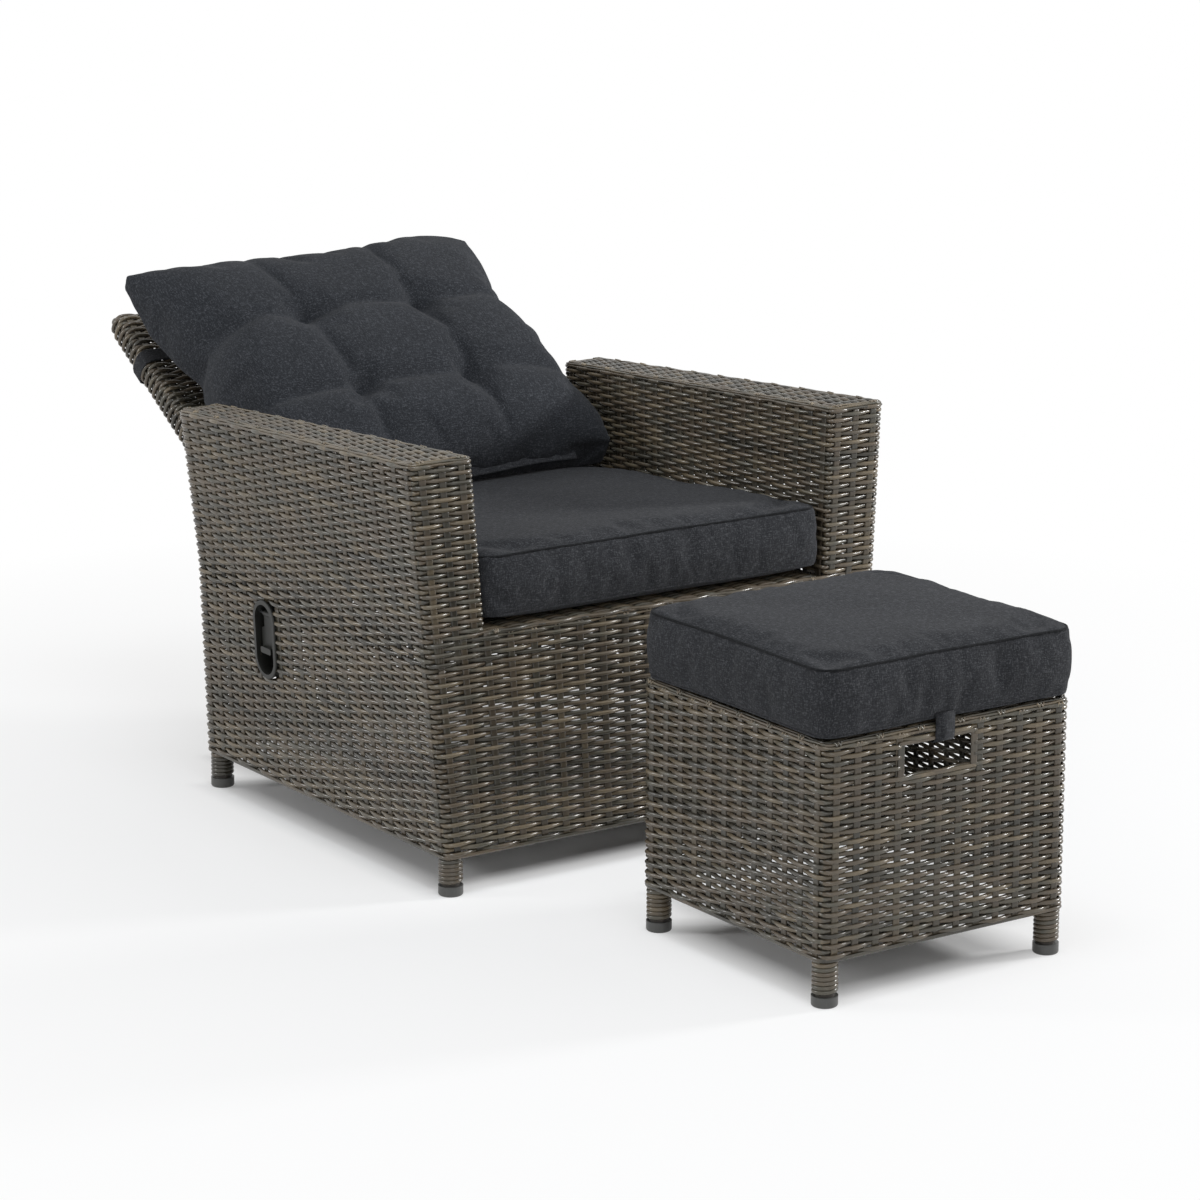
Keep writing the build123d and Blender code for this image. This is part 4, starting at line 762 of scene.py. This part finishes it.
# Cushions: anthracite melange polyester over foam. Warp and weft are spun from dark and
# paler fibres, so the cloth has short light and dark flecks both ways.
def cloth_material(name, base, pale, tilt=0.0):
    made, tree, shader = material(name, 1.0, Sheen_Weight=0.05, Sheen_Roughness=0.6,
                                  Specular_IOR_Level=0.05)
    flat = node(tree, "ShaderNodeMapping", values={"Rotation": (tilt, 0, 0)},
                links={"Vector": object_place(tree)}).outputs[0]
    # Flecks 8 mm long and 1.5 mm wide, drawn twice as coarse as the threads so that they show
    flecks = []
    for scale in ((125, 660, 660), (660, 125, 660), (660, 660, 125)):
        stretched = node(tree, "ShaderNodeMapping", values={"Scale": scale}, links={"Vector": flat})
        flecks.append(noise(tree, 1.0, 2.0, stretched.outputs[0]))
    total = maths(tree, "ADD", maths(tree, "ADD", flecks[0], flecks[1]), flecks[2])
    colours = colour_ramp(tree, remap(tree, total, 0.0, 1.0, 1.0, 2.05),
                          [(0.0, linear(base, 0.55)), (0.5, linear(base)), (1.0, linear(pale))])
    shaded(tree, shader, remap(tree, noise(tree, 14.0, 3.0, flat), 0.86, 1.14), colours)
    relief(tree, shader, total, 0.5, 0.0006)
    return made


cushion_cloth = cloth_material("anthracite melange polyester", "323336", "57585b")
# The upper piping's cloth is darker than the cover's: painted shade for the shadow line along each
# cushion's upper seam.
seam_shade_piping_cloth = cloth_material("upper piping cloth darkened as painted seam shade", "1d1e20", "343537")
cloth_square, box_corner = 0.0095, 22 * mm
on_face = 0.999  # a point of the unit box lies on a face beyond this


def cloth_box(name, cuts):
    """A closed box of small squares, from -1 to 1 each way, as a new object."""
    bm = bmesh.new()
    bmesh.ops.create_cube(bm, size=2)
    for axis, count in zip((2, 0, 1), cuts):
        lines = [edge for edge in bm.edges
                 if abs(edge.verts[0].co[axis] - edge.verts[1].co[axis]) > 1.5]
        bmesh.ops.subdivide_edges(bm, edges=lines, cuts=count, use_grid_fill=True)
    piece = added(name, as_mesh(name, bm))
    places = np.zeros(len(piece.data.vertices) * 3, np.float32)
    piece.data.vertices.foreach_get("co", places)
    return piece, places.reshape(-1, 3).astype(float)


def set_places(piece, places):
    piece.data.vertices.foreach_set("co", places.astype(np.float32).ravel())
    piece.data.update()


def puff_up(piece, start, held, pressure, reach, ease=0.03, frames=20):
    """Fills a sewn cover: cloth under pressure, held at its seams, moved by reach at most."""
    holding = piece.vertex_groups.new(name="seams")
    for strength in np.unique(np.round(held[held > 0.01], 1)):
        holding.add([int(index) for index in np.flatnonzero(np.round(held, 1) == strength)],
                    float(strength), "REPLACE")
    cloth = piece.modifiers.new("cloth", "CLOTH")
    settings = cloth.settings
    settings.quality = 6
    settings.mass = 0.35
    settings.tension_stiffness = settings.compression_stiffness = 18
    settings.shear_stiffness = 6
    settings.bending_stiffness = 1.2
    settings.use_pressure = True
    settings.uniform_pressure_force = pressure
    settings.shrink_min = -ease
    settings.vertex_group_mass = "seams"
    settings.effector_weights.gravity = 0
    cloth.collision_settings.use_self_collision = False
    cloth.point_cache.frame_start, cloth.point_cache.frame_end = 1, frames
    for step in range(1, frames + 1):
        scene.frame_set(step)
    evaluated = piece.evaluated_get(bpy.context.evaluated_depsgraph_get())
    ends = np.zeros(len(piece.data.vertices) * 3, np.float32)
    evaluated.data.vertices.foreach_get("co", ends)
    moved = ends.reshape(-1, 3) - start
    length = np.linalg.norm(moved, axis=1, keepdims=True)
    moved *= np.minimum(1, reach / np.maximum(length, 1e-9))
    piece.modifiers.remove(cloth)
    piece.vertex_groups.remove(holding)
    scene.frame_set(1)
    return start + moved


def finish_cushion(piece, body, replaced, cloth):
    piece.data.polygons.foreach_set("use_smooth", np.ones(len(piece.data.polygons), bool))
    piece.data.materials.append(cloth)
    rounder = piece.modifiers.new("round", "SUBSURF")
    rounder.levels = rounder.render_levels = 1
    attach(piece, body)
    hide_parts(*replaced)


def piping(name, line, body, cloth, radius=1.9 * mm):
    """A closed cord that follows a closed line."""
    angle = np.linspace(0, 2 * pi, 8, endpoint=False)
    section = np.stack([np.sin(angle), np.cos(angle)], 1) * radius
    outward = unit(np.cross(np.roll(line, -1, 0) - np.roll(line, 1, 0), up))
    lay_strands(name, [(line, outward, True)], body, kind=(section, cloth))


def cushion_ring(x, y, half, corner, draw=4 * mm):
    """A square's points on rings with rounded corners and sides drawn in towards their middle."""
    reach = np.maximum(np.maximum(np.abs(x), np.abs(y)), 1e-9)
    px, py = np.abs(x) / reach * half[0], np.abs(y) / reach * half[1]
    dx, dy = px - (half[0] - corner), py - (half[1] - corner)
    length = np.maximum(np.hypot(dx, dy), 1e-9)
    in_corner = (dx > 0) & (dy > 0)
    px = np.where(in_corner, half[0] - corner + dx / length * corner, px)
    py = np.where(in_corner, half[1] - corner + dy / length * corner, py)
    draw_x = draw * (np.abs(x) / reach) ** 6 * np.cos(y * pi / 2) ** 2
    draw_y = draw * (np.abs(y) / reach) ** 6 * np.cos(x * pi / 2) ** 2
    return np.sign(x) * (px - draw_x) * reach, np.sign(y) * (py - draw_y) * reach


def box_cushion(name, base, along, normal, size, body, replaced, bulge, dent_seed):
    """A boxed cushion, piped above and below; size is width, depth, side, belly and crown."""
    width, depth, side, belly, crown = (value * mm for value in size)
    piece, cube = cloth_box(name, (7, int(width / cloth_square), int(depth / cloth_square)))
    x, y, level = cube.T
    above, below = level > on_face, level < -on_face
    rim = np.maximum(np.abs(x), np.abs(y)) > on_face
    flat_x, flat_y = cushion_ring(x, y, (width / 2, depth / 2), box_corner)
    crowned = (1 - x ** 4) ** 0.5 * (1 - y ** 4) ** 0.5
    height = np.where(above, belly + side + crown * 0.75 * crowned,
                      np.where(below, belly * (1 - crowned), belly + side * (level + 1) / 2))
    out = np.where(above | below, 0, np.cos(level * pi / 2)) * bulge * mm
    flat_x = flat_x + out * np.where(np.abs(x) > on_face, np.sign(x) * 0.4, 0)
    flat_y = flat_y + out * np.where(np.abs(y) > on_face, np.sign(y), 0)
    wave = np.sin(x * 5.1 + dent_seed) * np.sin(y * 4.3 + 2 * dent_seed) * 1.5 * mm
    height = height + np.where(above, wave * crowned, 0)
    start = (base + right * flat_x[:, None] + along * (flat_y + depth / 2)[:, None]
             + normal * height[:, None])
    set_places(piece, start)
    held = np.where(below | (rim & above), 1.0, 0.0)
    filled = puff_up(piece, start, held, 3.2, 7 * mm)
    set_places(piece, np.where(below[:, None], start, filled))
    finish_cushion(piece, body, replaced, cushion_cloth)
    turn, ones = np.linspace(-1, 1, 81)[:-1], np.ones(80)
    ring_x = np.concatenate([turn, ones, -turn, -ones])
    ring_y = np.concatenate([-ones, turn, ones, -turn])
    # Subdivision rounds the cover's edges, so the piping lies 1.3 mm inside them.
    inside = 1.3 * mm
    rx, ry = cushion_ring(ring_x, ring_y, (width / 2 - inside, depth / 2 - inside),
                          box_corner + 4 * mm)
    uneven = 0.4 * mm * np.sin(ring_x * 8.3 + dent_seed) * np.cos(ring_y * 6.7)
    # The upper piping takes the darker cloth, painted shade along the upper seam.
    for label, level, cloth in (("lower", belly + inside, cushion_cloth),
                                ("upper", belly + side - inside, seam_shade_piping_cloth)):
        line = (base + right * rx[:, None] + along * (ry + depth / 2)[:, None]
                + normal * (level + uneven)[:, None])
        piping(f"{name}_{label}_piping", line, body, cloth)


seat_fall = radians(4.1)
seat_along = np.array([0, cos(seat_fall), -sin(seat_fall)])
seat_normal = np.array([0, sin(seat_fall), cos(seat_fall)])
box_cushion("seat_cushion_cover", np.array([0, -217.35, 358.2]) * mm, seat_along, seat_normal,
            (562, 572, 82, 17, 10), "seat_cushion_set", ["seat_cushion"], bulge=4.0, dent_seed=1.0)
box_cushion("ottoman_cushion_cover", np.array([-13, -858.71, 340.3]) * mm,
            np.array([0, 1.0, 0]), up, (402, 380, 86, 6, 8), "ottoman", ["ottoman_cushion"],
            bulge=3.0, dent_seed=2.2)

# Back cushion: a soft pillow, tufted through in four places, so that it stands up in three
# rows of three puffs and its edges draw in between them.
cushion_angle = radians(28)
cushion_along = np.array([0, cos(cushion_angle), sin(cushion_angle)])
cushion_normal = np.array([0, -sin(cushion_angle), cos(cushion_angle)])
cushion_base = np.array([0, 300.43, 464.55]) * mm
cushion_length, cushion_half = 503 * mm, 303 * mm
piece, cube = cloth_box("back_cushion_cover", (6, 62, 52))
across, level = cube[:, 0], cube[:, 2]
above, below = level > on_face, level < -on_face
station = (cube[:, 1] + 1) / 2
lower_tufts, upper_tufts = 0.265, 0.61
tufts = ((lower_tufts, -0.38), (lower_tufts, 0.30), (upper_tufts, -0.42), (upper_tufts, 0.34))
stops = [0.0, 0.08, lower_tufts, 0.44, upper_tufts, 0.84, 1.0]
draw_in = 34 * mm * np.interp(station, np.linspace(0, 1, 101),
                              np.interp(np.linspace(0, 1, 101), stops,
                                        [0.97, 0.75, 1.0, 0.72, 1.1, 0.4, 0.0]))
draw_in += np.where(across < 0, 8 * mm, 2 * mm) * np.exp(-((station - upper_tufts) / 0.06) ** 2)
rows_near = sum(np.exp(-np.abs(station - place) / 0.038) for place in (lower_tufts, upper_tufts))
columns_near = sum(np.exp(-np.abs(across - aside) / 0.06) for aside in (-0.40, 0.32))
half_width = cushion_half - draw_in
pinch = columns_near * (9 * mm * np.clip(station * 4 - 3, 0, 1))
skew = 16 * mm * np.exp(-((across - 0.62) / 0.32) ** 2) * np.clip(station * 4 - 3, 0, 1)
body_shape = (np.clip(1 - np.abs(across) ** 4.2, 0, 1) ** 0.5
              * np.clip(1 - np.abs(cube[:, 1]) ** 4.2, 0, 1) ** 0.5)
front_rise = np.interp(station, stops, [50, 54, 58, 61, 59, 49, 40]) * mm
valley = 0.17 * columns_near + 0.19 * rows_near * (1 - 0.2 * np.abs(across) ** 3)
front_height = 11 * mm + front_rise * body_shape * (1.05 - valley)
tuft_away = [np.hypot((across - aside) * cushion_half, (station - place) * cushion_length)
             for place, aside in tufts]
tuft_pull = sum(np.exp(-away / (15 * mm)) for away in tuft_away)
front_height = front_height * (1 - 0.45 * np.clip(tuft_pull, 0, 1))
rear_side = 110 * mm * np.interp(station, stops, [0.33, 0.41, 0.51, 0.56, 0.54, 0.44, 0.11])
rear_middle = 110 * mm * np.interp(station, stops, [0.4, 0.74, 0.945, 0.98, 1.0, 0.76, 0.13])
rear_height = -(rear_side + (rear_middle - rear_side) * (1 - across ** 2))
side_height = -rear_side + (rear_side + 11 * mm) * (level + 1) / 2
height = np.where(above, front_height, np.where(below, rear_height, side_height))
flat_x = across * half_width
flat_y = station * cushion_length - pinch + skew - 7 * mm * np.clip(1 - station * 5, 0, 1)
start = (cushion_base + right * flat_x[:, None] + cushion_along * flat_y[:, None]
         + cushion_normal * height[:, None])
set_places(piece, start)
rim = np.maximum(np.abs(across), np.abs(cube[:, 1])) > on_face
held = np.where(rim & above, 0.6, 0.0)
held = np.where(below | (above & (np.min(tuft_away, axis=0) < 6 * mm)), 1.0, held)
set_places(piece, puff_up(piece, start, held, 2.2, 8 * mm))
back_cloth = cloth_material("anthracite melange polyester, back", "2f3135", "56585d",
                            -cushion_angle)
finish_cushion(piece, "back_cushion_set", ["back_cushion"], back_cloth)


# The cushion's lower seam ends in a flat sewn edge, which lies on the seat cushion.
bm = bmesh.new()
bmesh.ops.create_grid(bm, x_segments=40, y_segments=3, size=0.5)
for vert in bm.verts:
    share, out = vert.co.x * 2, vert.co.y + 0.5
    forward = 0.005 + (0.016 - 0.006 * share) * out
    fall = 0.002 + (0.009 - 0.003 * share) * out + 0.002 * sin(share * 7)
    vert.co = (Vector(cushion_base) - Vector(cushion_along) * forward
               - Vector(cushion_normal) * fall + Vector((share * 0.236 - 0.026, 0, 0)))
bmesh.ops.solidify(bm, geom=bm.faces[:], thickness=1.6 * mm)
seam = added("back_cushion_seam", as_mesh("back_cushion_seam", bm))
seam.data.materials.append(cushion_cloth)
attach(seam, "back_cushion_set")
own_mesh(seam)


# Straps: the cushion's own cloth, folded and stitched. One goes right round the back panel,
# two hook the ottoman's cushion through the hand holes.
def strap(name, strands, width, body, replaced):
    half, thick = width / 2, 0.9 * mm
    section = np.array([(-half, -thick), (-half * 0.97, thick), (-half * 0.84, thick * 0.8),
                        (half * 0.84, thick * 0.8), (half * 0.97, thick), (half, -thick)])
    lay_strands(name, strands, body, replaced, (section, cushion_cloth))


loop_clear, loop_along = 3 * mm, 437 * mm
loop_marks = np.arange(0, back_total, 0.25)
points, outward = walk(rectangle(back_half + loop_clear, back_thick + loop_clear), [17 * mm] * 4,
                       back_counts, loop_marks)
points = points + outward * (skin_depth - 1.0 * mm)
loop = turned([(*on_back((points, outward), loop_along), True)])
strap("back_cushion_strap", loop, 25 * mm, "back_cushion_set", ["back_strap"])

hooks = []
for side in (-1, 1):
    face = ottoman_y + side * ottoman_half[1]
    # The strap's way down the wall and in through the hand hole: outward of the wall, height
    path = np.array([(-1.0, 353.5), (1.9, 349), (1.9, 340), (1.7, 330), (1.3, 320.5),
                     (-3, 316.5), (-12, 316.5)]) * (side * mm, mm) + (face, 0)
    reach = np.linspace(0, len(path) - 1, 25)
    line = np.stack([np.full(25, -25 * mm), np.interp(reach, range(7), path[:, 0]),
                     np.interp(reach, range(7), path[:, 1])], 1)
    line[1:-1] = (line[:-2] + line[1:-1] * 2 + line[2:]) / 4
    ahead = unit(np.gradient(line, axis=0))
    hooks.append((line, np.cross(ahead, right) * side, False))
strap("ottoman_cushion_straps", hooks, 30 * mm, "ottoman", ["ottoman_straps"])

# Frame tubes: aluminium tube, bent, welded and powder coated dark brown, so it hides behind
# the strands.
coated, tree, shader = material("powder coated aluminium tube", 0.55, "3a3530")
relief(tree, shader, noise(tree, 900.0, 2.0, object_place(tree)), 0.25, 0.0003)

# Spring parts: bright zinc-plated steel for the rod, pins and head, black paint on the
# cylinder and its brackets.
plated, tree, shader = material("zinc-plated steel", 0.28, "b9bcc0", Metallic=1.0)
worn = remap(tree, noise(tree, 60.0, 4.0, object_place(tree)), 0.22, 0.4)
tree.links.new(worn, shader.inputs["Roughness"])
painted, tree, shader = material("black painted steel", 0.35, "17181a")
relief(tree, shader, noise(tree, 350.0, 1.0, object_place(tree)), 0.15, 0.0002)


# Moulded parts: the release handle is black polypropylene with a fine spark-eroded grain,
# the foot caps are dark grey polypropylene.
def moulded(name, colour, roughness):
    made, tree, shader = material(name, roughness)
    grain = noise(tree, 1400.0, 2.0, object_place(tree))
    shaded(tree, shader, remap(tree, grain, 0.85, 1.15), colour=linear(colour))
    relief(tree, shader, grain, 0.3, 0.0002)
    return made


handle_black = moulded("moulded black polypropylene", "151612", 0.5)
cap_grey = moulded("moulded grey polypropylene", "4f4f4d", 0.4)
cable_black = moulded("black vinyl cable sheath", "18181a", 0.45)
nylon = moulded("black nylon bush", "202123", 0.4)
finishes = (
    (handle_black, ("handle_housing", "handle_paddle")),
    (cap_grey, ("chair_foot_caps", "ottoman_foot_caps")),
    (cable_black, ("release_cable",)),
    (nylon, ("hinge_bushes", "rod_guide")),
    (plated, ("release_lever", "hinge_pins", "gas_spring_rod", "release_head",
              "release_lever_pin", "release_pin", "spring_front_pin", "spring_rear_pin",
              "handle_pin")),
    (painted, ("gas_spring_cylinder", "spring_lever", "spring_bracket", "hinge_brackets")),
)
finish_of = {name: finish for finish, names in finishes for name in names}
for name, part in nodes.items():
    part.data.materials.clear()
    part.data.materials.append(finish_of.get(name, coated))
